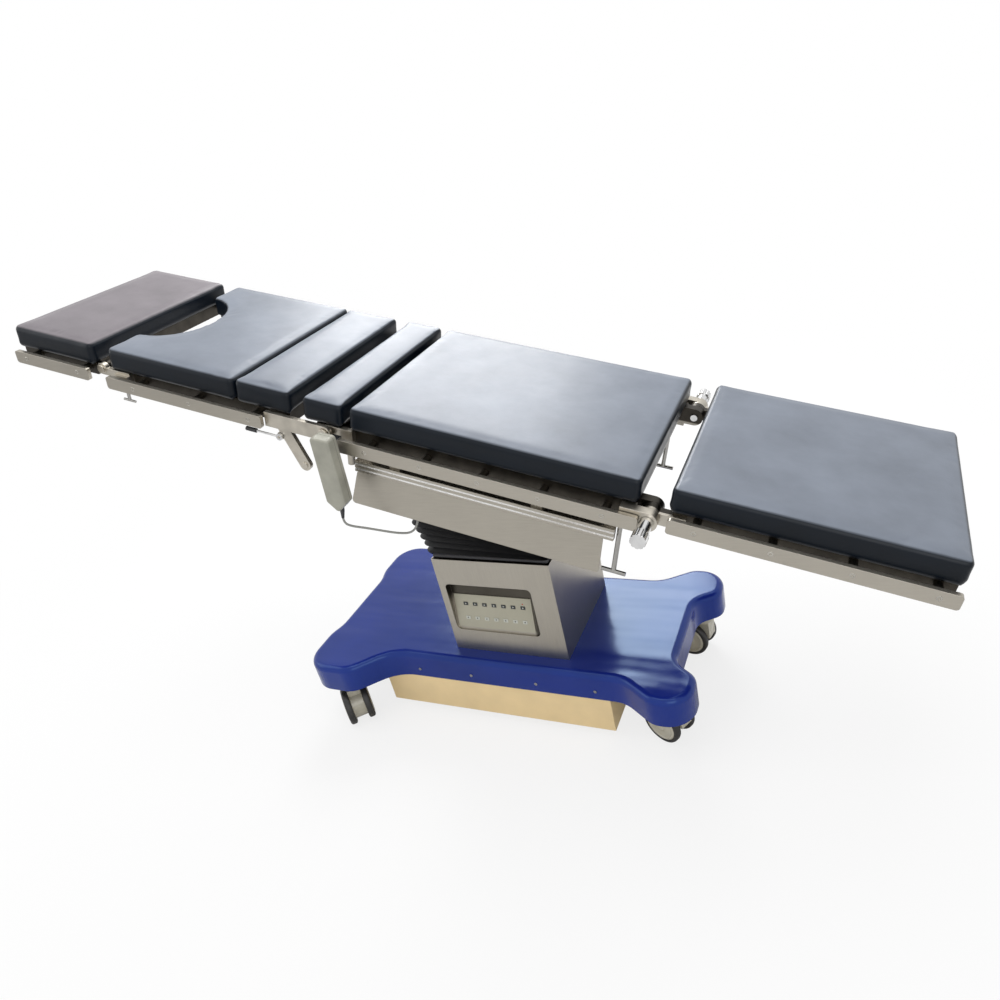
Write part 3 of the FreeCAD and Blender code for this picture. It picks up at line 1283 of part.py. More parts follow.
# Handset with its keypad, hook, gland and hanging cord
HANDSET_INNER = "-handset_side + handset_thick / 2"
LOW = "-handset_top - handset_long"
HANDSET_TIP = "handset_start + handset_wide / 2 + handset_slant + 4"
corners = (
    ("handset_start", "-handset_top"),
    ("handset_start + handset_wide", "-handset_top + 2"),
    ("handset_start + handset_wide + handset_slant", f"{LOW} + 10"),
    (HANDSET_TIP, f"{LOW} - 16"),
    ("handset_start + handset_slant - 2", f"{LOW} + 4"),
)
body = body_of("handset_form")
width = ("-handset_side - handset_thick / 2", HANDSET_INNER)
flat = outline(body, "handset_outline", corners, "XZ_Plane", f"-({HANDSET_INNER})")
block = pad(body, "handset_block", flat, span(*width))
form = fillet(body, "handset_corners", block, lies_across, "handset_round")
doc.recompute()
outer_face = form.Shape.BoundBox.YMin
fillet(body, "handset_edges", form, lambda edge: edge.BoundBox.YMax < outer_face + 0.1, "handset_edge")
collar_foot = (HANDSET_TIP, "-handset_side", f"{LOW} - gland_collar_from")
hole = rod("gland_hole", "gland_collar", "gland_collar_long", collar_foot)
keep(cut("handset_shell", body, hole), "handset_shell", "top")
collar = rod("gland_collar_form", "gland_collar", "gland_collar_long", collar_foot)
sleeve_foot = (HANDSET_TIP, "-handset_side", f"{LOW} - gland_long")
sleeve = rod("gland_sleeve", "gland_mouth", "gland_cone_long", sleeve_foot, "z", "gland_collar")
keep(fuse("gland", [collar, sleeve]), "handset_gland", "top")
keypad_x = ("handset_start + keypad_from", "handset_start + keypad_to")
keypad_y = (HANDSET_INNER, f"{HANDSET_INNER} + keypad_thick")
keypad_z = (f"{LOW} + keypad_inset", "-handset_top - keypad_inset")
keypad = box("keypad_sheet", keypad_x, keypad_y, keypad_z)
keep(group("keypad", [keypad]), "handset_keypad", "top")

# Hook of the handset, over the rail
hook_low = "-seat_rail_top + hook_over"
hook_high = f"{hook_low} + hook_thick"
hook_x = ("handset_start + hook_from", "handset_start + hook_to")
lip_y = ("-rail_out + rail_thick + hook_behind", "-rail_out + rail_thick + hook_behind + hook_thick")
back_y = (HANDSET_INNER, f"{HANDSET_INNER} + hook_thick")
pieces = [
    box("hook_back", hook_x, back_y, ("-seat_rail_top - hook_down", hook_high)),
    box("hook_bridge", hook_x, (HANDSET_INNER, lip_y[1]), (hook_low, hook_high)),
    box("hook_lip", hook_x, lip_y, ("-seat_rail_top - hook_lip_down", hook_high)),
]
keep(fuse("hook", pieces), "handset_hook", "top")

# Socket of the handset's cord, held by a bracket on the side cover
bracket_x = ("socket_at - socket_barrel", "socket_at + socket_barrel")
bracket_y = ("-cover_side + cover_thick", "-socket_side + 4")
bracket_z = ("-socket_low + bracket_from", "-socket_low + bracket_to")
barrel_foot = ("socket_at", "-socket_side", "-socket_low")
barrel = rod("socket_body", "socket_barrel", "socket_barrel_long", barrel_foot)
socket = [barrel, box("socket_bracket", bracket_x, bracket_y, bracket_z)]
keep(fuse("socket", socket), "handset_socket", "top")


def cord_wire(points):
    """Straight runs joined by tangent arcs, each arc as large as its two runs allow."""
    path = []
    last = points[0]
    for before, corner, after in zip(points, points[1:], points[2:]):
        back, ahead = before - corner, after - corner
        half_turn = (math.pi - back.getAngle(ahead)) / 2
        reach = 0.45 * min(back.Length, ahead.Length)
        radius = reach / math.tan(half_turn)
        start = corner + back.normalize() * reach
        end = corner + ahead.normalize() * reach
        inward = (back + ahead).normalize()
        middle = corner + inward * (radius / math.cos(half_turn) - radius)
        path.append(Part.LineSegment(last, start).toShape())
        path.append(Part.Arc(start, middle, end).toShape())
        last = end
    path.append(Part.LineSegment(last, points[-1]).toShape())
    return Part.Wire(path)


# Cord: it hangs from the gland, runs under the side cover and rises to its socket
gland_tip = FreeCAD.Vector(
    size("handset_start") + size("handset_wide") / 2 + size("handset_slant") + 4,
    -size("handset_side"),
    -size("handset_top") - size("handset_long") - size("gland_long"),
)
socket_foot = FreeCAD.Vector(size("socket_at"), -size("socket_side"), -size("socket_low"))
FROM_GLAND = ((0, 0, 0), (1, 1, -14), (13, 7, -23), (42, 22, -29), (73, 45, -43))
TO_SOCKET = ((-35, -21, -79), (-13, -7, -80), (-1, -1, -60), (0, 0, -32), (0, 0, 0))
points = [gland_tip + FreeCAD.Vector(*step) for step in FROM_GLAND]
points += [socket_foot + FreeCAD.Vector(*step) for step in TO_SOCKET]
route = cord_wire(points)
ring = Part.Wire(Part.makeCircle(size("cord_radius"), points[0], points[1] - points[0]))
cord = doc.addObject("Part::Feature", "handset_cord")
cord.Shape = route.makePipeShell([ring], True, False)
keep(cord, "handset_cord", "top")

# Every object has to be sound before any file is written
doc.recompute()
for item in doc.Objects:
    if "Invalid" in item.State or "Error" in item.State:
        raise RuntimeError(f"{item.Name} ({item.Label}) failed: {item.State}")
for item in nodes:
    if item.Shape.isNull() or not item.Shape.isValid() or not item.Shape.Solids:
        raise RuntimeError(f"{item.Label} has no sound solid")
for item in nodes:
    item.Shape.exportStep(f"parts/{item.Label}.step")
bounds = FreeCAD.BoundBox()
for item in nodes:
    bounds.add(item.Shape.BoundBox)
print(len(nodes), "parts", bounds)
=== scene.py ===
"""Dresses the operating table: pads, bellows, moulded base, steelwork, castors, handset and cord."""

import math

import bmesh
import bpy
from bpy.props import FloatProperty, FloatVectorProperty, IntProperty, PointerProperty
from mathutils import Euler, Matrix, Vector
from mathutils.bvhtree import BVHTree


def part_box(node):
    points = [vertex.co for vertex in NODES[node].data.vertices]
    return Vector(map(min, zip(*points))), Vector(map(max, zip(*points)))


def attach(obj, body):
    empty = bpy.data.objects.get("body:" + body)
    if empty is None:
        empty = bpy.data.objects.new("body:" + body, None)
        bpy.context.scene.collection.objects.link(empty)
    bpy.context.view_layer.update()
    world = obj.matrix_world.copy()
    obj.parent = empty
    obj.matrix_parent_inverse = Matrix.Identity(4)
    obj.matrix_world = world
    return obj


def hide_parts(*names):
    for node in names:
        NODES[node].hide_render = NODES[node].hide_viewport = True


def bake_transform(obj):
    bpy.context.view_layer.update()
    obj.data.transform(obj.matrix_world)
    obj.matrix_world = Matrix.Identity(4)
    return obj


bl_info = {
    "name": "Operating table",
    "version": (1, 0, 0),
    "blender": (4, 5, 0),
    "location": "3D View > Sidebar > Table",
    "description": "Pads, bellows, base, steelwork, castors and handset of an operating table",
    "category": "Object",
}

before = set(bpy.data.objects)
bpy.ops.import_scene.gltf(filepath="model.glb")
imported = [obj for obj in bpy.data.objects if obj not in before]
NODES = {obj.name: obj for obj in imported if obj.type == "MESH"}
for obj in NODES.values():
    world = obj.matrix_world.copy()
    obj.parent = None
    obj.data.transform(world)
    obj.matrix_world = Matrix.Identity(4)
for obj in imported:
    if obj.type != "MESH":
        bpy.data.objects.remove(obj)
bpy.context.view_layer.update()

# The tabletop's own frame: X along the table, Y across it, Z square to the pads
TILT = math.radians(15.7)
COLUMN_X = 0.06875
AXIS_HIGH = 0.570
TOP_OVER_AXIS = 0.2735
AXIS = Matrix.Translation((COLUMN_X, 0, AXIS_HIGH)) @ Matrix.Rotation(TILT, 4, "Y")
TOP = AXIS @ Matrix.Translation((0, 0, TOP_OVER_AXIS))
SQUARE = (math.sin(TILT), 0, math.cos(TILT))
SHIFT = tuple(TOP.inverted().translation)
# Lower edges of the two hems of the long channels, which carry a pale painted highlight
HEM_LOW = -0.142
HEM_HIGH = -0.131
HEM_EDGE = 0.003

# Which body each pad rides on
PADS = {
    "head_pad": "head",
    "back_pad": "back",
    "lumbar_pad": "back",
    "bridge_pad": "bridge",
    "seat_pad": "table",
    "leg_pad": "leg",
}
FRAME_NODES = ("head_frame", "back_frame", "seat_frame", "leg_frame", "bridge_frame")
RAIL_NODES = ("head_rails", "back_rails", "seat_rails", "leg_rails")
SHEET_NODES = ("side_cover_near", "side_cover_far")
CHROME_NODES = ("leg_knob_near", "leg_knob_far", "tilt_shaft", "roll_shaft", "lift_ram", "handset_hook")
CLAMP_NODES = ("head_clamp_near", "head_clamp_far", "leg_clamp_near", "leg_clamp_far")
IRON_NODES = ("base_chassis", "tilt_yoke", "column_head", "lift_guide", "lift_cylinder")
DARK_NODES = ("battery_pack", "mains_inlet", "handset_socket", "handset_gland")
# The middle of each rail's near face and the stations of its screws, from its spacers
RAIL_SCREWS = {
    "head": (-0.063, (-1.136, -0.978)),
    "back": (-0.070, (-0.813, -0.654, -0.495)),
    "table": (-0.077, (-0.207, -0.080, 0.047, 0.174, 0.301)),
    "leg": (-0.063, (0.470, 0.6043, 0.7387, 0.873)),
}
RAIL_FACE = 0.268
RAIL_THICK = 0.010
# Outside this width, and below this height in the tabletop's frame, the frames' fittings keep their bright
# steel; elsewhere the frames are painted dark as a painted shade
FITTINGS_OUT = 0.2283
FITTINGS_UNDER = -0.09
# The middle of the grip at the end of the release lever, and the reach of its black
LEVER_GRIP = (-0.497, -0.258, -0.099)
GRIP_REACH = 0.0142
# The recess in the column's near face, and where the painted shade on its top and foot-side wall starts and
# ends
RECESS_DEPTH = (-0.1485, -0.12)
RECESS_ALONG = (-0.066, 0.1602)
RECESS_HEIGHT = (0.258, 0.4)
RECESS_TOP_SHADE = (0.335, 0.36)
RECESS_SIDE_SHADE = (0.143, 0.15)
# Tints of the reflection on the base and of the leather on the head pad
BASE_TINT = (0.4, 0.66, 0.95)
HEAD_TINT = (1.0, 0.80, 0.72)
# The remeshed pads start this much smaller in all
PAD_SHRINK = 0.004
# A pad's skin is loose from this far off its walls and from this band above its foot on
WALL_TIGHT = 0.035
FOOT_TIGHT = 0.002
FOOT_BAND = 0.02
LEAST_SLACK = 0.2
# The cover laps over the plate outside this half width, over this much of its height
LAP_OUT = 0.2295
LAP_BLEND = 0.002
LAP_HIGH = 0.02
# The bellows: its foot, its head over the tilt axis, its half sizes at the foot and their gain up to the head
BELLOWS_FOOT = 0.481
BELLOWS_OVER_AXIS = 0.044
BELLOWS_HALF = (0.152, 0.147)
BELLOWS_GAIN = (0.078, -0.002)
BELLOWS_CORNER = 0.17
BELLOWS_WALL = 0.002
FOLD_OUT = 0.015
FOLD_IN = -0.013
# How far each castor stands turned, and where its wheels' inner faces and axle are
CASTOR_TURNS = {"head_near": -46, "head_far": 200, "foot_near": 154, "foot_far": 167}
WHEEL_INNER = 0.0105
WHEEL_RADIUS = 0.05
# The handset: its shells' seam, the corners of its keypad, and the keys' margins, pitches and size
HANDSET_SEAM = 0.2935
KEYPAD_LOW = (-0.282, -0.285, -0.150)
KEYPAD_HIGH = (-0.261, -0.2837, -0.088)
KEYPAD_ROWS = 5
KEYPAD_COLUMNS = 2
KEYPAD_MARGIN = (0.0025, 0.004)
KEYPAD_PITCH = (0.0085, 0.0115)
KEYPAD_SUNK = 0.0004
KEYPAD_KEY = (0.0065, 0.0006, 0.008)
# The panel: its lean over its height, its foot, its rows as shares of its length, its keys and its lamp
PANEL_LEAN = (0.019, 0.138)
PANEL_FOOT = (COLUMN_X, -0.145, 0.259)
PANEL_ROWS = (0.22, 0.5)
PANEL_COLUMNS = 7
PANEL_FIRST = -0.104
PANEL_PITCH = 0.0255
PANEL_KEY = (0.012, 0.009)
PANEL_MARK = 0.0027
PANEL_LAMP_UP = 0.0145
# The floor: the share of its glow near the table, and the distances between which it turns to plain white
FLOOR_GLOW = 0.78
FLOOR_FADE = (0.9, 2.6)
ROOM_GLOW = 0.66


# Settings that a user would change
def colour_setting(name, description, default):
    return FloatVectorProperty(name=name, description=description, subtype="COLOR", size=3, default=default)


class TableSettings(bpy.types.PropertyGroup):
    # The pads' top colour is a painted sheen and their side colour a painted shade of one leather
    pad_lit_top: colour_setting("Pad top", "Leather of the pads' tops", (0.17, 0.192, 0.232))
    pad_shaded_side: colour_setting("Pad side", "Leather of the pads' sides", (0.003, 0.006, 0.011))
    steel: colour_setting("Steel", "Brushed stainless steel", (0.44, 0.41, 0.355))
    # The frames' dark colour is a painted shade
    frame_steel_painted_shade: colour_setting("Frame steel", "Section frames under the pads", (0.05, 0.045, 0.038))
    base_blue: colour_setting("Base blue", "Moulded base cover", (0.008, 0.019, 0.20))
    pan_tan: colour_setting("Pan tan", "Painted pan", (0.86, 0.66, 0.36))
    castor_cream: colour_setting("Castor cream", "Castor plastic", (0.46, 0.43, 0.34))
    handset_shell: colour_setting("Handset", "Handset plastic", (0.345, 0.34, 0.285))
    pad_voxel: FloatProperty(
        name="Pad voxel", description="Cell of the pads' remesh", subtype="DISTANCE", default=0.005
    )
    pad_swell: FloatProperty(
        name="Pad swell", description="Furthest that a pad's skin moves", subtype="DISTANCE", default=0.004
    )
    pad_lap: FloatProperty(
        name="Pad lap", description="How far the cover laps over its plate", subtype="DISTANCE",
        default=0.0046,
    )
    pad_steps: IntProperty(name="Pad steps", description="Steps of the cloth", default=20, min=1, max=60)
    folds: IntProperty(name="Folds", description="Folds of the bellows", default=10, min=3, max=20)
    azimuth: FloatProperty(name="Azimuth", description="Degrees round the table", default=29.908)
    elevation: FloatProperty(name="Elevation", description="Degrees above the floor", default=27.798)
    roll: FloatProperty(name="Roll", description="Degrees round the line of sight", default=-13.955)
    camera_place: FloatVectorProperty(
        name="Camera place", description="Where the camera stands", subtype="TRANSLATION", size=3,
        default=(0.8816, -1.4374, 1.4201),
    )
    lens: FloatProperty(name="Lens", description="Focal length in millimetres", default=28.08)


# Node helpers
def new_material(name):
    """A material with its tree and its shader."""
    material = bpy.data.materials.new(name)
    material.use_nodes = True
    tree = material.node_tree
    return material, tree, tree.nodes["Principled BSDF"]


def object_place(tree, scale=(1, 1, 1), turn=(0, 0, 0), shift=(0, 0, 0)):
    """Object coordinates through a mapping."""
    source = tree.nodes.new("ShaderNodeTexCoord")
    mapping = tree.nodes.new("ShaderNodeMapping")
    mapping.inputs["Scale"].default_value = scale
    mapping.inputs["Rotation"].default_value = turn
    mapping.inputs["Location"].default_value = shift
    tree.links.new(source.outputs["Object"], mapping.inputs["Vector"])
    return mapping.outputs["Vector"]


def noise(tree, vector, scale, detail, roughness=0.5):
    node = tree.nodes.new("ShaderNodeTexNoise")
    node.inputs["Scale"].default_value = scale
    node.inputs["Detail"].default_value = detail
    node.inputs["Roughness"].default_value = roughness
    tree.links.new(vector, node.inputs["Vector"])
    return node.outputs["Fac"]


def ramp(tree, factor, low, high, start=0.3, end=0.7):
    """A colour between two as a factor goes from start to end."""
    node = tree.nodes.new("ShaderNodeValToRGB")
    node.color_ramp.elements[0].position = start
    node.color_ramp.elements[1].position = end
    node.color_ramp.elements[0].color = (*low, 1)
    node.color_ramp.elements[1].color = (*high, 1)
    tree.links.new(factor, node.inputs["Fac"])
    return node.outputs["Color"]


def spread(tree, factor, low, high, start=0.0, end=1.0):
    """A number between two as a factor goes from start to end."""
    node = tree.nodes.new("ShaderNodeMapRange")
    node.inputs["From Min"].default_value = start
    node.inputs["From Max"].default_value = end
    node.inputs["To Min"].default_value = low
    node.inputs["To Max"].default_value = high
    tree.links.new(factor, node.inputs["Value"])
    return node.outputs["Result"]


def blend_colours(tree, factor, first, second):
    node = tree.nodes.new("ShaderNodeMix")
    node.data_type = "RGBA"
    tree.links.new(factor, node.inputs["Factor"])
    tree.links.new(first, node.inputs["A"])
    tree.links.new(second, node.inputs["B"])
    return node.outputs["Result"]


def calculate(tree, kind, first, second=None):
    """A sum on one or two sockets or numbers."""
    node = tree.nodes.new("ShaderNodeMath")
    node.operation = kind
    for socket, value in zip(node.inputs, (first, second)):
        if isinstance(value, (int, float)):
            socket.default_value = value
        elif value is not None:
            tree.links.new(value, socket)
    return node.outputs[0]


def part_of(tree, vector, axis):
    """One coordinate of a vector."""
    node = tree.nodes.new("ShaderNodeSeparateXYZ")
    tree.links.new(vector, node.inputs[0])
    return node.outputs[axis]


def relief(tree, shader, layers, edge=0.0):
    """Bumps of (height, strength, distance), one over the other, on edges softened by a radius."""
    normal = None
    if edge:
        soft = tree.nodes.new("ShaderNodeBevel")
        soft.samples = 4
        soft.inputs["Radius"].default_value = edge
        normal = soft.outputs["Normal"]
    for height, strength, distance in layers:
        bump = tree.nodes.new("ShaderNodeBump")
        bump.inputs["Strength"].default_value = strength
        bump.inputs["Distance"].default_value = distance
        tree.links.new(height, bump.inputs["Height"])
        if normal is not None:
            tree.links.new(normal, bump.inputs["Normal"])
        normal = bump.outputs["Normal"]
    tree.links.new(normal, shader.inputs["Normal"])


def near_to(tree, vector, place, radius, soft=0.0002):
    """1 within a radius of a place and 0 outside it."""
    node = tree.nodes.new("ShaderNodeVectorMath")
    node.operation = "DISTANCE"
    node.inputs[1].default_value = place
    tree.links.new(vector, node.inputs[0])
    return spread(tree, node.outputs["Value"], 1, 0, radius - soft, radius)


def shade(colour, factor):
    return tuple(min(1, part * factor) for part in colour)


# Finishes
def leather(name, top, side, tint=(1, 1, 1)):
    """Satin leathercloth: pebbled and slightly creased, its upward faces painted paler as a painted sheen and
    its sides painted near black as a painted shade.
    """
    material, tree, shader = new_material(name)
    vector = object_place(tree)
    facing = tree.nodes.new("ShaderNodeTexCoord").outputs["Normal"]
    dot = tree.nodes.new("ShaderNodeVectorMath")
    dot.operation = "DOT_PRODUCT"
    dot.inputs[1].default_value = SQUARE
    tree.links.new(facing, dot.inputs[0])
    # Upward faces take the paler top colour, a painted sheen; the sides take the near-black colour, a painted
    # shade
    painted_sheen_mask = spread(tree, dot.outputs["Value"], 0, 1, 0.7, 0.94)
    worn_chrome_and_painted_sheen = tuple(part * share for part, share in zip(top, tint))
    cloudy = noise(tree, vector, 7, 5, 0.6)
    lit = ramp(tree, cloudy, shade(worn_chrome_and_painted_sheen, 0.86), shade(worn_chrome_and_painted_sheen, 1.14))
    dark = ramp(tree, cloudy, shade(side, 0.8), shade(side, 1.3))
    tree.links.new(blend_colours(tree, painted_sheen_mask, dark, lit), shader.inputs["Base Color"])
    tree.links.new(spread(tree, noise(tree, vector, 26, 5), 0.27, 0.42), shader.inputs["Roughness"])
    shader.inputs["Specular IOR Level"].default_value = 0.24
    grain = tree.nodes.new("ShaderNodeTexVoronoi")
    grain.feature = "SMOOTH_F1"
    grain.inputs["Scale"].default_value = 620
    tree.links.new(vector, grain.inputs["Vector"])
    creases = noise(tree, vector, 38, 6, 0.65)
    sag = noise(tree, vector, 5, 2)
    pebbles = grain.outputs["Distance"]
    relief(tree, shader, ((sag, 0.5, 0.004), (creases, 0.16, 0.0012), (pebbles, 0.2, 0.0003)))
    return material


def brushed(name, colour, grain, turn, rough=(0.26, 0.4), painted_light_mask=None, other=(0.075, 0.068, 0.056)):
    """Steel brushed along one way, with faint smudges and, where a mask is given, a painted shade in the dark
    default colour, and a painted highlight where a pale colour is given.
    """
    material, tree, shader = new_material(name)
    lines = noise(tree, object_place(tree, grain, (0, turn, 0)), 2.5, 4, 0.65)
    smudge = noise(tree, object_place(tree), 6, 4)
    fine = ramp(tree, lines, shade(colour, 0.9), shade(colour, 1.08))
    cloudy = ramp(tree, smudge, shade(colour, 0.86), shade(colour, 1.1))
    result = blend_colours(tree, calculate(tree, "MULTIPLY", smudge, 0.6), fine, cloudy)
    if painted_light_mask:
        varied = ramp(tree, smudge, shade(other, 0.75), shade(other, 1.3))
        result = blend_colours(tree, painted_light_mask(tree, object_place(tree)), result, varied)
    tree.links.new(result, shader.inputs["Base Color"])
    tree.links.new(spread(tree, lines, *rough), shader.inputs["Roughness"])
    shader.inputs["Metallic"].default_value = 1
    relief(tree, shader, ((lines, 0.05, 0.0002), (smudge, 0.05, 0.004)), 0.0012)
    return material


def spacer_painted_shade(tree, vector):
    """Most of 1 on the spacers behind a rail, which take a dark painted shade, and 0 on the rail."""
    outer = calculate(tree, "ABSOLUTE", part_of(tree, vector, "Y"))
    back = RAIL_FACE - RAIL_THICK
    return spread(tree, outer, 0.85, 0, back - 0.0005, back - 0.0001)


def within(tree, value, low, high, soft=0.0005):
    """1 between two numbers and 0 outside them."""
    over = spread(tree, value, 0, 1, low - soft, low)
    under = spread(tree, value, 1, 0, high, high + soft)
    return calculate(tree, "MULTIPLY", over, under)


def recess_painted_shade(tree, vector):
    """1 on the top and the foot-side walls of the recess in the column's near face, where a dark painted
    shade goes.
    """
    along, depth, height = (part_of(tree, vector, axis) for axis in "XYZ")
    inside = within(tree, depth, *RECESS_DEPTH, 0.001)
    inside = calculate(tree, "MULTIPLY", inside, within(tree, along, *RECESS_ALONG, 0.0001))
    inside = calculate(tree, "MULTIPLY", inside, within(tree, height, *RECESS_HEIGHT, 0.001))
    top = spread(tree, height, 0, 1, *RECESS_TOP_SHADE)
    foot_side = spread(tree, along, 0, 1, *RECESS_SIDE_SHADE)
    return calculate(tree, "MULTIPLY", inside, calculate(tree, "MAXIMUM", top, foot_side))


def hem_painted_highlight(tree, vector):
    """1 on the hems of the long channels under the seat, which carry a pale painted highlight."""
    across = object_place(tree, turn=(0, -TILT, 0), shift=SHIFT)
    height = part_of(tree, across, "Z")
    margin = 0.0002
    first, second = (
        within(tree, height, low - margin, low + HEM_EDGE + margin) for low in (HEM_LOW, HEM_HIGH)
    )
    return calculate(tree, "MAXIMUM", first, second)


def frame_painted_shade(name, dark, bright):
    """Frames painted dark as a painted shade, whose fittings outside the side tubes and under the frame keep
    a bright steel colour.
    """
    material, tree, shader = new_material(name)
    vector = object_place(tree)
    outer = calculate(tree, "ABSOLUTE", part_of(tree, vector, "Y"))
    across = object_place(tree, turn=(0, -TILT, 0), shift=SHIFT)
    under = spread(tree, part_of(tree, across, "Z"), 0.75, 0, FITTINGS_UNDER, FITTINGS_UNDER + 0.003)
    outside = spread(tree, outer, 0, 1, FITTINGS_OUT, FITTINGS_OUT + 0.0005)
    fitting = calculate(tree, "MAXIMUM", outside, under)
    mottle = noise(tree, vector, 30, 4)
    body = ramp(tree, mottle, shade(dark, 0.75), shade(dark, 1.3))
    polished_part = ramp(tree, mottle, shade(bright, 0.85), shade(bright, 1.15))
    tree.links.new(blend_colours(tree, fitting, body, polished_part), shader.inputs["Base Color"])
    tree.links.new(spread(tree, mottle, 0.26, 0.42), shader.inputs["Roughness"])
    shader.inputs["Metallic"].default_value = 1
    relief(tree, shader, ((mottle, 0.06, 0.0006),), 0.0015)
    return material


def chrome(name, colour):
    """Polished plating with faint smudges."""
    material, tree, shader = new_material(name)
    smudge = noise(tree, object_place(tree), 45, 4)
    tree.links.new(ramp(tree, smudge, shade(colour, 0.8), colour), shader.inputs["Base Color"])
    tree.links.new(spread(tree, smudge, 0.07, 0.2), shader.inputs["Roughness"])
    shader.inputs["Metallic"].default_value = 1
    relief(tree, shader, ((smudge, 0.03, 0.0004),), 0.0008)
    return material


def lever_finish(name, metal, grip):
    """A plated stem with a black grip at its end."""
    material, tree, shader = new_material(name)
    vector = object_place(tree)
    at_grip = near_to(tree, vector, TOP @ Vector(LEVER_GRIP), GRIP_REACH)
    mottle = noise(tree, vector, 60, 4)
    black = ramp(tree, mottle, shade(grip, 0.8), shade(grip, 1.4))
    plate = ramp(tree, mottle, shade(metal, 0.82), metal)
    tree.links.new(blend_colours(tree, at_grip, plate, black), shader.inputs["Base Color"])
    tree.links.new(calculate(tree, "SUBTRACT", 1, at_grip), shader.inputs["Metallic"])
    tree.links.new(spread(tree, at_grip, 0.14, 0.42), shader.inputs["Roughness"])
    relief(tree, shader, ((mottle, 0.05, 0.0004),), 0.001)
    return material


def gel_coat(name, colour, tint):
    """Glossy moulded cover: deep colour, a strong tinted reflection and long shallow waves."""
    material, tree, shader = new_material(name)
    vector = object_place(tree)
    cloudy = noise(tree, vector, 4, 3)
    tree.links.new(ramp(tree, cloudy, shade(colour, 0.85), shade(colour, 1.15)), shader.inputs["Base Color"])
    tree.links.new(spread(tree, noise(tree, vector, 30, 4), 0.1, 0.24), shader.inputs["Roughness"])
    shader.inputs["IOR"].default_value = 1.55
    shader.inputs["Specular Tint"].default_value = (*tint, 1)
    waves = noise(tree, object_place(tree, (0.22, 1, 1)), 11, 2, 0.4)
    relief(tree, shader, ((waves, 0.85, 0.006), (noise(tree, vector, 260, 2), 0.02, 0.0003)), 0.0025)
    return material


def moulded(name, colour, roughness, coat=0.0, mottle=0.08, texture=0.04, edge=0.0008, level=0.5):
    """Plastic or paint with a slight unevenness in its colour, gloss and surface."""
    material, tree, shader = new_material(name)
    vector = object_place(tree)
    uneven = ramp(tree, noise(tree, vector, 11, 4), shade(colour, 1 - mottle), shade(colour, 1 + mottle))
    tree.links.new(uneven, shader.inputs["Base Color"])
    gloss = spread(tree, noise(tree, vector, 50, 3), roughness * 0.75, roughness * 1.3)
    tree.links.new(gloss, shader.inputs["Roughness"])
    shader.inputs["Coat Weight"].default_value = coat
    shader.inputs["Coat Roughness"].default_value = 0.05
    shader.inputs["Specular IOR Level"].default_value = level
    relief(tree, shader, ((noise(tree, vector, 240, 2), texture, 0.0003),), edge)
    return material


def dress(piece, *materials):
    """Gives a piece or a CAD node its materials."""
    if piece.data.materials:
        piece.data.materials.clear()
    for material in materials:
        piece.data.materials.append(material)
    return piece


# Mesh helpers
def new_piece(name, form, body, slot, *materials, place=None):
    """Makes a smooth object of a bmesh, with its place in its mesh, and rides it on the body it is given."""
    if place is not None:
        bmesh.ops.transform(form, matrix=place, verts=form.verts)
    bmesh.ops.recalc_face_normals(form, faces=form.faces)
    mesh = bpy.data.meshes.new(name)
    form.to_mesh(mesh)
    form.free()
    piece = bpy.data.objects.new(name, mesh)
    bpy.context.scene.collection.objects.link(piece)
    for face in mesh.polygons:
        face.use_smooth = True
    mesh.set_sharp_from_angle(angle=math.radians(40))
    dress(piece, *materials)
    if body:
        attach(piece, body)
    return piece


def settle(piece):
    """Applies a piece's modifiers to its mesh."""
    bpy.context.view_layer.update()
    graph = bpy.context.evaluated_depsgraph_get()
    mesh = bpy.data.meshes.new_from_object(piece.evaluated_get(graph))
    piece.modifiers.clear()
    old = piece.data
    piece.data = mesh
    bpy.data.meshes.remove(old)


def block(form, low, high, bevel):
    """A box between two corners, with rounded edges."""
    low, high = Vector(low), Vector(high)
    made = bmesh.ops.create_cube(form, size=1)["verts"]
    bmesh.ops.scale(form, vec=high - low, verts=made)
    bmesh.ops.translate(form, vec=(low + high) / 2, verts=made)
    edges = list({edge for vert in made for edge in vert.link_edges})
    bmesh.ops.bevel(
        form, geom=edges, offset=bevel, offset_type="OFFSET", segments=2, profile=0.5, affect="EDGES",
        material=-1,
    )


def turned(form, profile, axis, centre, steps, material=0):
    """Spins a profile of (distance along the axis, radius) points round an axis."""
    axis = Vector(axis).normalized()
    side = axis.orthogonal().normalized()
    before = set(form.faces)
    verts = [form.verts.new(Vector(centre) + axis * along + side * radius) for along, radius in profile]
    edges = [form.edges.new(pair) for pair in zip(verts, verts[1:])]
    bmesh.ops.spin(
        form, geom=verts + edges, cent=centre, axis=axis, angle=2 * math.pi, steps=steps, use_merge=True
    )
    bmesh.ops.remove_doubles(form, verts=form.verts, dist=1e-6)
    for face in form.faces:
        if face not in before:
            face.material_index = material


# Operators, one for each piece or group of like pieces
class TABLE_OT_camera(bpy.types.Operator):
    """Places the camera as the photograph was taken"""

    bl_idname = "table.camera"
    bl_label = "Camera"

    def execute(self, context):
        settings = context.scene.table_settings
        azimuth = math.radians(settings.azimuth)
        elevation = math.radians(settings.elevation)
        level = math.cos(elevation)
        back = Vector((math.sin(azimuth) * level, -math.cos(azimuth) * level, math.sin(elevation)))
        right = Vector((math.cos(azimuth), math.sin(azimuth), 0))
        aimed = Matrix((right, back.cross(right), back)).transposed()
        rolled = aimed @ Matrix.Rotation(math.radians(settings.roll), 3, "Z")
        data = bpy.data.cameras.new("camera")
        data.lens = settings.lens
        data.sensor_width = 36
        data.clip_end = 100
        camera = bpy.data.objects.new("camera", data)
        camera.matrix_world = Matrix.Translation(settings.camera_place) @ rolled.to_4x4()
        context.scene.collection.objects.link(camera)
        context.scene.camera = camera
        return {"FINISHED"}


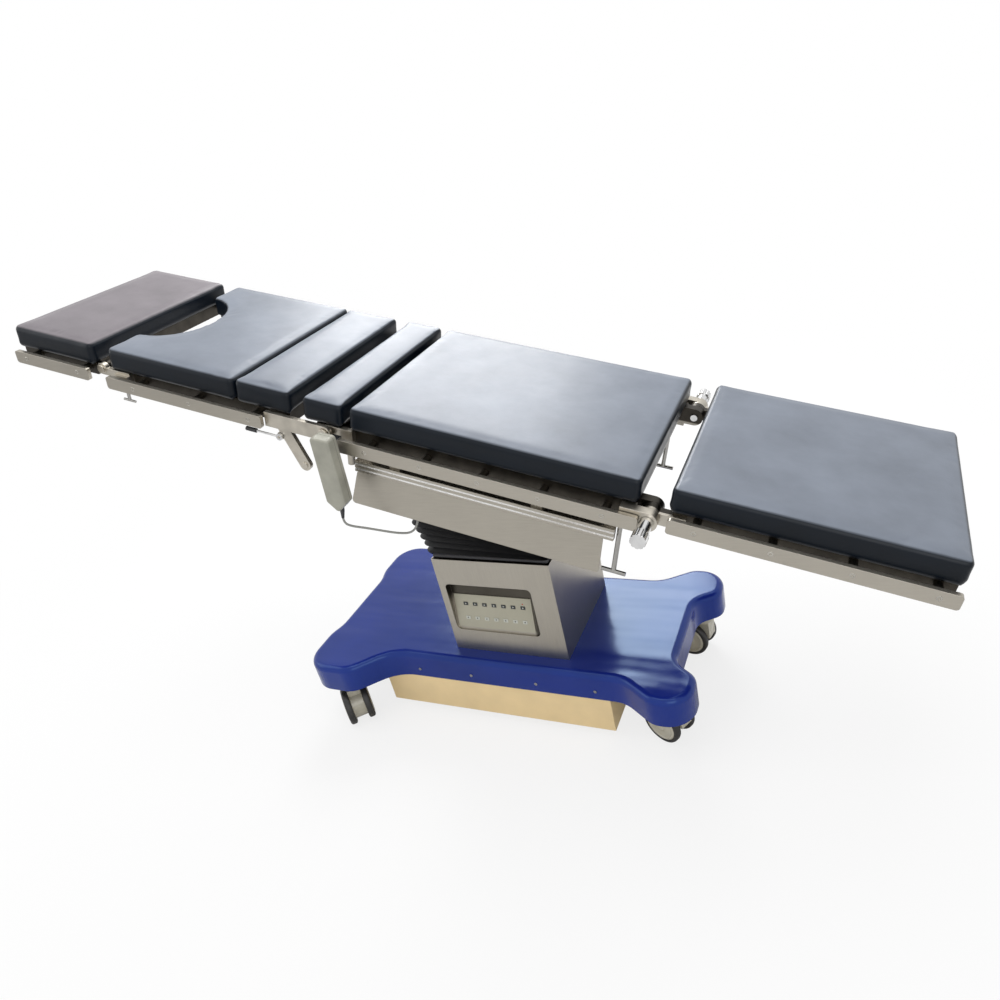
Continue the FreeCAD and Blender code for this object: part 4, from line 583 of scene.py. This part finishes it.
class TABLE_OT_cord(bpy.types.Operator):
    """Hangs the handset's cord between its gland and its socket"""

    bl_idname = "table.cord"
    bl_label = "Handset cord"

    def execute(self, context):
        route = (
            (-0.2505, -0.300, -0.233),
            (-0.2495, -0.299, -0.247),
            (-0.2375, -0.293, -0.256),
            (-0.2085, -0.278, -0.262),
            (-0.1775, -0.255, -0.276),
            (-0.150, -0.235, -0.287),
            (-0.128, -0.221, -0.288),
            (-0.116, -0.215, -0.268),
            (-0.115, -0.214, -0.240),
            (-0.115, -0.214, -0.208),
        )
        data = bpy.data.curves.new("handset_lead", "CURVE")
        data.dimensions = "3D"
        data.bevel_depth = 0.0025
        data.bevel_resolution = 4
        data.use_fill_caps = True
        line = data.splines.new("NURBS")
        line.points.add(len(route) - 1)
        for point, place in zip(line.points, route):
            point.co = (*(TOP @ Vector(place)), 1)
        line.order_u = 3
        line.use_endpoint_u = True
        line.resolution_u = 8
        lead = bpy.data.objects.new("handset_lead", data)
        context.scene.collection.objects.link(lead)
        lead.data.materials.append(moulded("cord_rubber", (0.3, 0.3, 0.28), 0.5, edge=0))
        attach(lead, "table")
        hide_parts("handset_cord")
        return {"FINISHED"}


class TABLE_OT_pads(bpy.types.Operator):
    """Upholsters the six pads"""

    bl_idname = "table.pads"
    bl_label = "Pads"

    def execute(self, context):
        settings = context.scene.table_settings
        top, side = tuple(settings.pad_lit_top), tuple(settings.pad_shaded_side)
        plain = leather("pad_leather", top, side)
        warm = leather("pad_leather_warm", top, side, HEAD_TINT)
        for node, body in PADS.items():
            piece, solid = self.shape(context, node, settings)
            self.swell(context, piece, settings)
            self.seat(piece, solid, settings)
            smooth = piece.modifiers.new("smooth", "SUBSURF")
            smooth.levels = 1
            smooth.render_levels = 1
            for face in piece.data.polygons:
                face.use_smooth = True
            piece.data.transform(TOP)
            dress(piece, warm if node == "head_pad" else plain)
            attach(piece, body)
            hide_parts(node)
        return {"FINISHED"}

    def shape(self, context, node, settings):
        """The pad's solid and a slightly smaller copy in even cells, both in the tabletop's frame."""
        solid = bmesh.new()
        solid.from_mesh(NODES[node].data)
        bmesh.ops.transform(solid, matrix=TOP.inverted(), verts=solid.verts)
        bmesh.ops.remove_doubles(solid, verts=solid.verts, dist=1e-5)
        solid.normal_update()
        low = Vector([min(vert.co[k] for vert in solid.verts) for k in range(3)])
        high = Vector([max(vert.co[k] for vert in solid.verts) for k in range(3)])
        form = solid.copy()
        bmesh.ops.translate(form, vec=-(low + high) / 2, verts=form.verts)
        bmesh.ops.scale(form, vec=[1 - PAD_SHRINK / part for part in high - low], verts=form.verts)
        bmesh.ops.translate(form, vec=(low + high) / 2, verts=form.verts)
        mesh = bpy.data.meshes.new(node + "_cover")
        form.to_mesh(mesh)
        form.free()
        piece = bpy.data.objects.new(node + "_cover", mesh)
        context.scene.collection.objects.link(piece)
        remesh = piece.modifiers.new("remesh", "REMESH")
        remesh.mode = "VOXEL"
        remesh.voxel_size = settings.pad_voxel
        settle(piece)
        return piece, solid

    def swell(self, context, piece, settings):
        """Blows the pad up a little, as cloth under pressure."""
        rest = [vert.co.copy() for vert in piece.data.vertices]
        cloth = piece.modifiers.new("cloth", "CLOTH")
        cloth.settings.use_pressure = True
        cloth.settings.uniform_pressure_force = 4
        cloth.settings.effector_weights.gravity = 0
        cloth.settings.quality = 4
        for step in range(1, settings.pad_steps + 1):
            context.scene.frame_set(step)
        settle(piece)
        context.scene.frame_set(1)
        reach = settings.pad_swell
        for vert, start in zip(piece.data.vertices, rest):
            move = vert.co - start
            if move.length > 0:
                move *= reach * math.tanh(move.length / reach) / move.length
            vert.co = start + move

    def seat(self, piece, solid, settings):
        """Draws the cover tight at its edges and flat underneath, and laps its long edges over the plate."""
        whole = BVHTree.FromBMesh(solid)
        level = [face for face in solid.faces if abs(face.normal.z) > 0.5]
        bmesh.ops.delete(solid, geom=level, context="FACES")
        walls = BVHTree.FromBMesh(solid)
        under = min(vert.co.z for vert in solid.verts)
        solid.free()
        for vert in piece.data.vertices:
            nearest = whole.find_nearest(vert.co)[0]
            share = min(1, walls.find_nearest(vert.co)[3] / WALL_TIGHT)
            foot = min(1, max(0, vert.co.z - under - FOOT_TIGHT) / FOOT_BAND)
            slack = LEAST_SLACK + (1 - LEAST_SLACK) * share * share * (3 - 2 * share)
            slack = slack * foot * foot * (3 - 2 * foot)
            vert.co = nearest + (vert.co - nearest) * slack
            outside = min(1, max(0, abs(vert.co.y) - LAP_OUT) / LAP_BLEND)
            vert.co.z -= settings.pad_lap * (outside * max(0, 1 - (vert.co.z - under) / LAP_HIGH))


class TABLE_OT_steelwork(bpy.types.Operator):
    """Finishes the frames, rails, covers, shafts, clamps and ironwork"""

    bl_idname = "table.steelwork"
    bl_label = "Steelwork"

    def execute(self, context):
        settings = context.scene.table_settings
        steel = tuple(settings.steel)
        # The rails' spacers take a dark painted shade
        along = brushed("rail_steel", steel, (8, 300, 300), -TILT, painted_light_mask=spacer_painted_shade)
        sheet = brushed("sheet_steel", shade(steel, 0.95), (10, 340, 340), -TILT, (0.3, 0.44))
        # A pale painted highlight along the hems of the long channels
        pale = (0.95, 0.93, 0.9)
        highlighted_hems = brushed(
            "hemmed_steel", shade(steel, 0.95), (10, 340, 340), -TILT, (0.2, 0.34), hem_painted_highlight, pale
        )
        # The column takes a dark painted shade on the top and foot-side walls of its recess
        upright = brushed("column_steel", shade(steel, 0.95), (340, 340, 10), 0, (0.28, 0.42), recess_painted_shade)
        for node in RAIL_NODES:
            dress(NODES[node], along)
        for node in SHEET_NODES:
            dress(NODES[node], sheet)
        dress(NODES["table_frame"], highlighted_hems)
        for node in ("column_cover", "inner_column"):
            dress(NODES[node], upright)
        # Frames painted dark as a painted shade, with bright fittings
        frames = frame_painted_shade("frame_steel_painted_shade", tuple(settings.frame_steel_painted_shade), shade(steel, 1.15))
        for node in FRAME_NODES:
            dress(NODES[node], frames)
        bright = chrome("bright_chrome", (0.74, 0.74, 0.74))
        for node in CHROME_NODES:
            dress(NODES[node], bright)
        worn_chrome_and_painted_sheen = chrome("clamp_chrome", (0.42, 0.41, 0.39))
        for node in CLAMP_NODES:
            dress(NODES[node], worn_chrome_and_painted_sheen)
        dress(NODES["back_lever"], lever_finish("lever_chrome", (0.7, 0.7, 0.7), (0.02, 0.02, 0.022)))
        dress(NODES["skirt_screws"], chrome("screw_steel", (0.35, 0.35, 0.37)))
        iron = moulded("dark_iron", (0.05, 0.05, 0.055), 0.55, texture=0.2)
        for node in IRON_NODES:
            dress(NODES[node], iron)
        dark = moulded("dark_plastic", (0.025, 0.025, 0.028), 0.42, texture=0.15)
        for node in DARK_NODES:
            dress(NODES[node], dark)
        return {"FINISHED"}


class TABLE_OT_rail_screws(bpy.types.Operator):
    """Sets a sunk screw over each spacer of the rails"""

    bl_idname = "table.rail_screws"
    bl_label = "Rail screws"

    def execute(self, context):
        finish = chrome("rail_screw_steel", (0.5, 0.48, 0.43))
        profile = (
            (-0.001, 0.0052), (0.0002, 0.0052), (0.0005, 0.0046), (0.0005, 0.0024), (-0.0012, 0.0022),
            (-0.0012, 0),
        )
        for body, (height, stations) in RAIL_SCREWS.items():
            form = bmesh.new()
            for side in (-1, 1):
                for station in stations:
                    turned(form, profile, (0, side, 0), (station, side * RAIL_FACE, height), 20)
            new_piece(f"{body}_rail_screws", form, body, "chrome", finish, place=TOP)
        return {"FINISHED"}


class TABLE_OT_base(bpy.types.Operator):
    """Finishes the moulded base cover and the pan"""

    bl_idname = "table.base"
    bl_label = "Base"

    def execute(self, context):
        settings = context.scene.table_settings
        dress(NODES["base_cover"], gel_coat("blue_moulding", tuple(settings.base_blue), BASE_TINT))
        dress(NODES["base_pan"], moulded("tan_paint", tuple(settings.pan_tan), 0.38, 0.1, 0.06, 0.08))
        return {"FINISHED"}


class TABLE_OT_bellows(bpy.types.Operator):
    """Makes the folded bellows between the column and the tilting top"""

    bl_idname = "table.bellows"
    bl_label = "Bellows"

    def execute(self, context):
        folds = context.scene.table_settings.folds
        foot = BELLOWS_FOOT
        rise = AXIS_HIGH + BELLOWS_OVER_AXIS * math.cos(TILT) - foot

        def ring(k):
            """Where the unit outline goes for one ring, in at even numbers and out at odd ones."""
            share = k / (2 * folds)
            swell = 0 if k in (0, 2 * folds) else (FOLD_OUT if k % 2 else FOLD_IN)
            half = [start + share * gain + swell for start, gain in zip(BELLOWS_HALF, BELLOWS_GAIN)]
            centre = (COLUMN_X + share * BELLOWS_OVER_AXIS * math.sin(TILT), 0, foot + share * rise)
            turn = Matrix.Rotation(share * TILT, 4, "Y")
            return Matrix.Translation(centre) @ turn @ Matrix.Diagonal((*half, 1, 1))

        form = bmesh.new()
        bmesh.ops.create_grid(form, x_segments=1, y_segments=1, size=1)
        bmesh.ops.bevel(
            form, geom=form.verts[:], offset=BELLOWS_CORNER, offset_type="OFFSET", segments=5, profile=0.5,
            affect="VERTICES", material=-1,
        )
        bmesh.ops.delete(form, geom=form.faces[:], context="FACES_ONLY")
        bmesh.ops.transform(form, matrix=ring(0), verts=form.verts)
        edges = form.edges[:]
        for k in range(1, 2 * folds + 1):
            made = bmesh.ops.extrude_edge_only(form, edges=edges)["geom"]
            verts = [item for item in made if isinstance(item, bmesh.types.BMVert)]
            edges = [item for item in made if isinstance(item, bmesh.types.BMEdge)]
            bmesh.ops.transform(form, matrix=ring(k) @ ring(k - 1).inverted(), verts=verts)
        bmesh.ops.recalc_face_normals(form, faces=form.faces)
        black = (0.009, 0.009, 0.010)
        rubber = moulded("black_rubber", black, 0.42, texture=0.25, edge=0, level=0.35)
        skin = new_piece("bellows_skin", form, None, "bellows", rubber)
        wall = skin.modifiers.new("wall", "SOLIDIFY")
        wall.thickness = BELLOWS_WALL
        wall.offset = -1
        round_over = skin.modifiers.new("round_over", "SUBSURF")
        round_over.levels = 1
        round_over.render_levels = 1
        settle(skin)
        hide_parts("bellows")
        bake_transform(skin)
        return {"FINISHED"}


class TABLE_OT_castors(bpy.types.Operator):
    """Makes the castor wheels, dished discs in dark treads, and finishes the forks"""

    bl_idname = "table.castors"
    bl_label = "Castors"

    def execute(self, context):
        cream = tuple(context.scene.table_settings.castor_cream)
        plastic = moulded("castor_plastic", cream, 0.26, 0.5)
        disc = moulded("wheel_disc", shade(cream, 1.15), 0.16, 1.0)
        tread = moulded("wheel_tread", (0.022, 0.021, 0.02), 0.45, texture=0.2)
        hub = (
            (0.0005, 0), (0.0005, 0.038), (0.0025, 0.0415), (0.0165, 0.0415), (0.0192, 0.039),
            (0.0200, 0.035), (0.0185, 0.0335), (0.0172, 0.030), (0.0165, 0.018), (0.0180, 0.0145),
            (0.0202, 0.0125), (0.0207, 0.006), (0.0208, 0),
        )
        tyre = (
            (0.0012, 0.041), (0.0012, 0.0455), (0.0028, 0.0488), (0.0055, 0.0499), (0.0135, 0.0499),
            (0.0165, 0.0488), (0.0185, 0.0455), (0.0188, 0.041),
        )
        for word, turn in CASTOR_TURNS.items():
            dress(NODES[f"castor_fork_{word}"], plastic)
            angle = math.radians(turn)
            across = Vector((-math.sin(angle), math.cos(angle), 0))
            for k, side in ((1, -1), (2, 1)):
                node = f"castor_wheel_{word}_{k}"
                low, high = (Vector(corner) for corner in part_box(node))
                inner = (low + high) / 2 - across * side * WHEEL_INNER
                inner.z = WHEEL_RADIUS
                form = bmesh.new()
                turned(form, hub, across * side, inner, 48, 0)
                turned(form, tyre, across * side, inner, 48, 1)
                wheel = new_piece(f"wheel_{word}_{k}", form, f"wheel_{word}_{k}", "wheel", disc, tread)
                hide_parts(node)
        return {"FINISHED"}


class TABLE_OT_handset(bpy.types.Operator):
    """Finishes the handset and makes its keypad"""

    bl_idname = "table.handset"
    bl_label = "Handset"

    def execute(self, context):
        colour = tuple(context.scene.table_settings.handset_shell)
        material, tree, shader = new_material("handset_plastic")
        vector = object_place(tree)
        seam = calculate(tree, "ABSOLUTE", calculate(tree, "ADD", part_of(tree, vector, "Y"), HANDSET_SEAM))
        groove = spread(tree, seam, 0, 1, 0.0003, 0.0007)
        cloudy = noise(tree, vector, 22, 5)
        plain = ramp(tree, cloudy, shade(colour, 0.84), shade(colour, 1.14))
        line = ramp(tree, cloudy, shade(colour, 0.3), shade(colour, 0.4))
        tree.links.new(blend_colours(tree, groove, line, plain), shader.inputs["Base Color"])
        tree.links.new(spread(tree, noise(tree, vector, 90, 3), 0.3, 0.45), shader.inputs["Roughness"])
        relief(tree, shader, ((groove, 0.6, 0.0004), (noise(tree, vector, 700, 2), 0.12, 0.0003)), 0.001)
        dress(NODES["handset_shell"], material)
        form = bmesh.new()
        low, high = Vector(KEYPAD_LOW), Vector(KEYPAD_HIGH)
        block(form, low, high, 0.0005)
        for row in range(KEYPAD_ROWS):
            for column in range(KEYPAD_COLUMNS):
                left = low.x + KEYPAD_MARGIN[0] + KEYPAD_PITCH[0] * column
                foot = low.z + KEYPAD_MARGIN[1] + KEYPAD_PITCH[1] * row
                corner = Vector((left, high.y - KEYPAD_SUNK, foot))
                block(form, corner, corner + Vector(KEYPAD_KEY), 0.00025)
        membrane = moulded("key_membrane", (0.14, 0.15, 0.16), 0.4)
        pad = new_piece("handset_keys", form, "table", "keypad", membrane, place=TOP)
        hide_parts("handset_keypad")
        return {"FINISHED"}


class TABLE_OT_panel(bpy.types.Operator):
    """Makes the sunk control panel: a membrane, two rows of keys and a lamp"""

    bl_idname = "table.panel"
    bl_label = "Control panel"

    def execute(self, context):
        slope = math.hypot(*PANEL_LEAN)
        place = Matrix.Translation(PANEL_FOOT) @ Matrix.Rotation(-math.atan2(*PANEL_LEAN), 4, "X")
        membrane = moulded("panel_membrane", (0.42, 0.40, 0.31), 0.36, mottle=0.05)
        form = bmesh.new()
        # The sheet stops short of the recess's top and foot side, so the painted shade on the column's recess
        # shows there
        block(form, (-0.128, -0.003, 0.008), (0.078, 0, slope - 0.04), 0.0008)
        panel = new_piece("panel_sheet", form, "base", "keypad", membrane, place=place)
        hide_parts("control_panel")
        dark = moulded("panel_key_dark", (0.03, 0.034, 0.035), 0.35)
        pale = moulded("panel_key_pale", (0.55, 0.56, 0.5), 0.35)
        lamp = moulded("panel_lamp", (0.55, 0.05, 0.03), 0.2, 0.5)
        wide, tall = PANEL_KEY
        spots = [
            (row, PANEL_FIRST + PANEL_PITCH * column, share * slope)
            for row, share in enumerate(PANEL_ROWS)
            for column in range(PANEL_COLUMNS)
        ]
        for name, material, kind in (("panel_keys_pale", pale, 0), ("panel_keys_dark", dark, 1)):
            form = bmesh.new()
            for row, left, low in spots:
                if row == kind:
                    block(form, (left, -0.0043, low), (left + wide, -0.0028, low + tall), 0.0006)
                else:
                    made = bmesh.ops.create_circle(form, cap_ends=True, segments=3, radius=PANEL_MARK)
                    mark = made["verts"]
                    pointing = Matrix.Rotation(math.pi / 2 + math.pi * row, 3, "Z")
                    turn = Matrix.Rotation(math.pi / 2, 3, "X") @ pointing
                    bmesh.ops.rotate(form, verts=mark, cent=(0, 0, 0), matrix=turn)
                    bmesh.ops.translate(form, verts=mark, vec=(left + wide / 2, -0.00445, low + tall / 2))
            new_piece(name, form, "base", "keypad", material, place=place)
        form = bmesh.new()
        dome = ((-0.0005, 0.0018), (0.0003, 0.0017), (0.0009, 0.001), (0.001, 0))
        left, low = spots[-1][1:]
        turned(form, dome, (0, -1, 0), (left + wide / 2, -0.003, low + PANEL_LAMP_UP), 12)
        new_piece("panel_lamp", form, "base", "keypad", lamp, place=place)
        return {"FINISHED"}


class TABLE_OT_stage(bpy.types.Operator):
    """Makes the floor, the lamps and the pale surroundings"""

    bl_idname = "table.stage"
    bl_label = "Stage"

    def execute(self, context):
        scene = context.scene
        scene.view_settings.view_transform = "Standard"
        form = bmesh.new()
        bmesh.ops.create_grid(form, x_segments=1, y_segments=1, size=60)
        mesh = bpy.data.meshes.new("floor")
        form.to_mesh(mesh)
        form.free()
        floor = bpy.data.objects.new("floor", mesh)
        scene.collection.objects.link(floor)
        material, tree, shader = new_material("floor_white")
        shader.inputs["Base Color"].default_value = (0.8, 0.8, 0.8, 1)
        shader.inputs["Roughness"].default_value = 0.8
        shader.inputs["Specular IOR Level"].default_value = 0.1
        glow = tree.nodes.new("ShaderNodeEmission")
        mix = tree.nodes.new("ShaderNodeMixShader")
        path = tree.nodes.new("ShaderNodeLightPath")
        length = tree.nodes.new("ShaderNodeVectorMath")
        length.operation = "LENGTH"
        tree.links.new(object_place(tree), length.inputs[0])
        far = spread(tree, length.outputs["Value"], FLOOR_GLOW, 1, *FLOOR_FADE)
        seen = calculate(tree, "MAXIMUM", path.outputs["Is Camera Ray"], path.outputs["Is Transmission Ray"])
        tree.links.new(calculate(tree, "MULTIPLY", seen, far), mix.inputs["Fac"])
        tree.links.new(shader.outputs[0], mix.inputs[1])
        tree.links.new(glow.outputs[0], mix.inputs[2])
        tree.links.new(mix.outputs[0], tree.nodes["Material Output"].inputs["Surface"])
        dress(floor, material)
        world = bpy.data.worlds.new("pale_room")
        scene.world = world
        world.use_nodes = True
        tree = world.node_tree
        background = tree.nodes["Background"]
        path = tree.nodes.new("ShaderNodeLightPath")
        seen = calculate(tree, "MAXIMUM", path.outputs["Is Camera Ray"], path.outputs["Is Glossy Ray"])
        seen = calculate(tree, "MAXIMUM", seen, path.outputs["Is Transmission Ray"])
        tree.links.new(spread(tree, seen, ROOM_GLOW, 1), background.inputs["Strength"])
        background.inputs["Color"].default_value = (1, 1, 1, 1)
        for name, place, turn, wide, power in (
            ("lamp_over", (0.2, 0.3, 3.2), (-6, 0, 0), 2.6, 42),
            ("lamp_front", (1.8, -2.8, 2.2), (58, 0, 32), 1.8, 18),
            ("lamp_head", (-2.6, -0.8, 2.2), (0, -55, 15), 1.8, 12),
            ("lamp_back", (-0.9, 2.5, 2.4), (-60, 0, 17), 1.7, 64),
        ):
            data = bpy.data.lights.new(name, "AREA")
            data.size = wide
            data.energy = power
            lamp = bpy.data.objects.new(name, data)
            lamp.location = place
            lamp.rotation_euler = Euler([math.radians(part) for part in turn])
            scene.collection.objects.link(lamp)
        return {"FINISHED"}


OPERATORS = (
    TABLE_OT_camera,
    TABLE_OT_cord,
    TABLE_OT_pads,
    TABLE_OT_steelwork,
    TABLE_OT_rail_screws,
    TABLE_OT_base,
    TABLE_OT_bellows,
    TABLE_OT_castors,
    TABLE_OT_handset,
    TABLE_OT_panel,
    TABLE_OT_stage,
)


class TABLE_PT_parts(bpy.types.Panel):
    """Lists the pieces and their settings in the sidebar"""

    bl_label = "Operating table"
    bl_idname = "TABLE_PT_parts"
    bl_space_type = "VIEW_3D"
    bl_region_type = "UI"
    bl_category = "Table"

    def draw(self, context):
        for operator in OPERATORS:
            self.layout.operator(operator.bl_idname)
        for name in TableSettings.__annotations__:
            self.layout.prop(context.scene.table_settings, name)


def register():
    for item in (TableSettings, *OPERATORS, TABLE_PT_parts):
        bpy.utils.register_class(item)
    bpy.types.Scene.table_settings = PointerProperty(type=TableSettings)


def unregister():
    del bpy.types.Scene.table_settings
    for item in reversed((TableSettings, *OPERATORS, TABLE_PT_parts)):
        bpy.utils.unregister_class(item)


def main():
    """Makes every piece in turn."""
    register()
    bpy.ops.table.camera()
    bpy.ops.table.cord()
    bpy.ops.table.pads()
    bpy.ops.table.steelwork()
    bpy.ops.table.rail_screws()
    bpy.ops.table.base()
    bpy.ops.table.bellows()
    bpy.ops.table.castors()
    bpy.ops.table.handset()
    bpy.ops.table.panel()
    bpy.ops.table.stage()


if __name__ == "__main__":
    main()
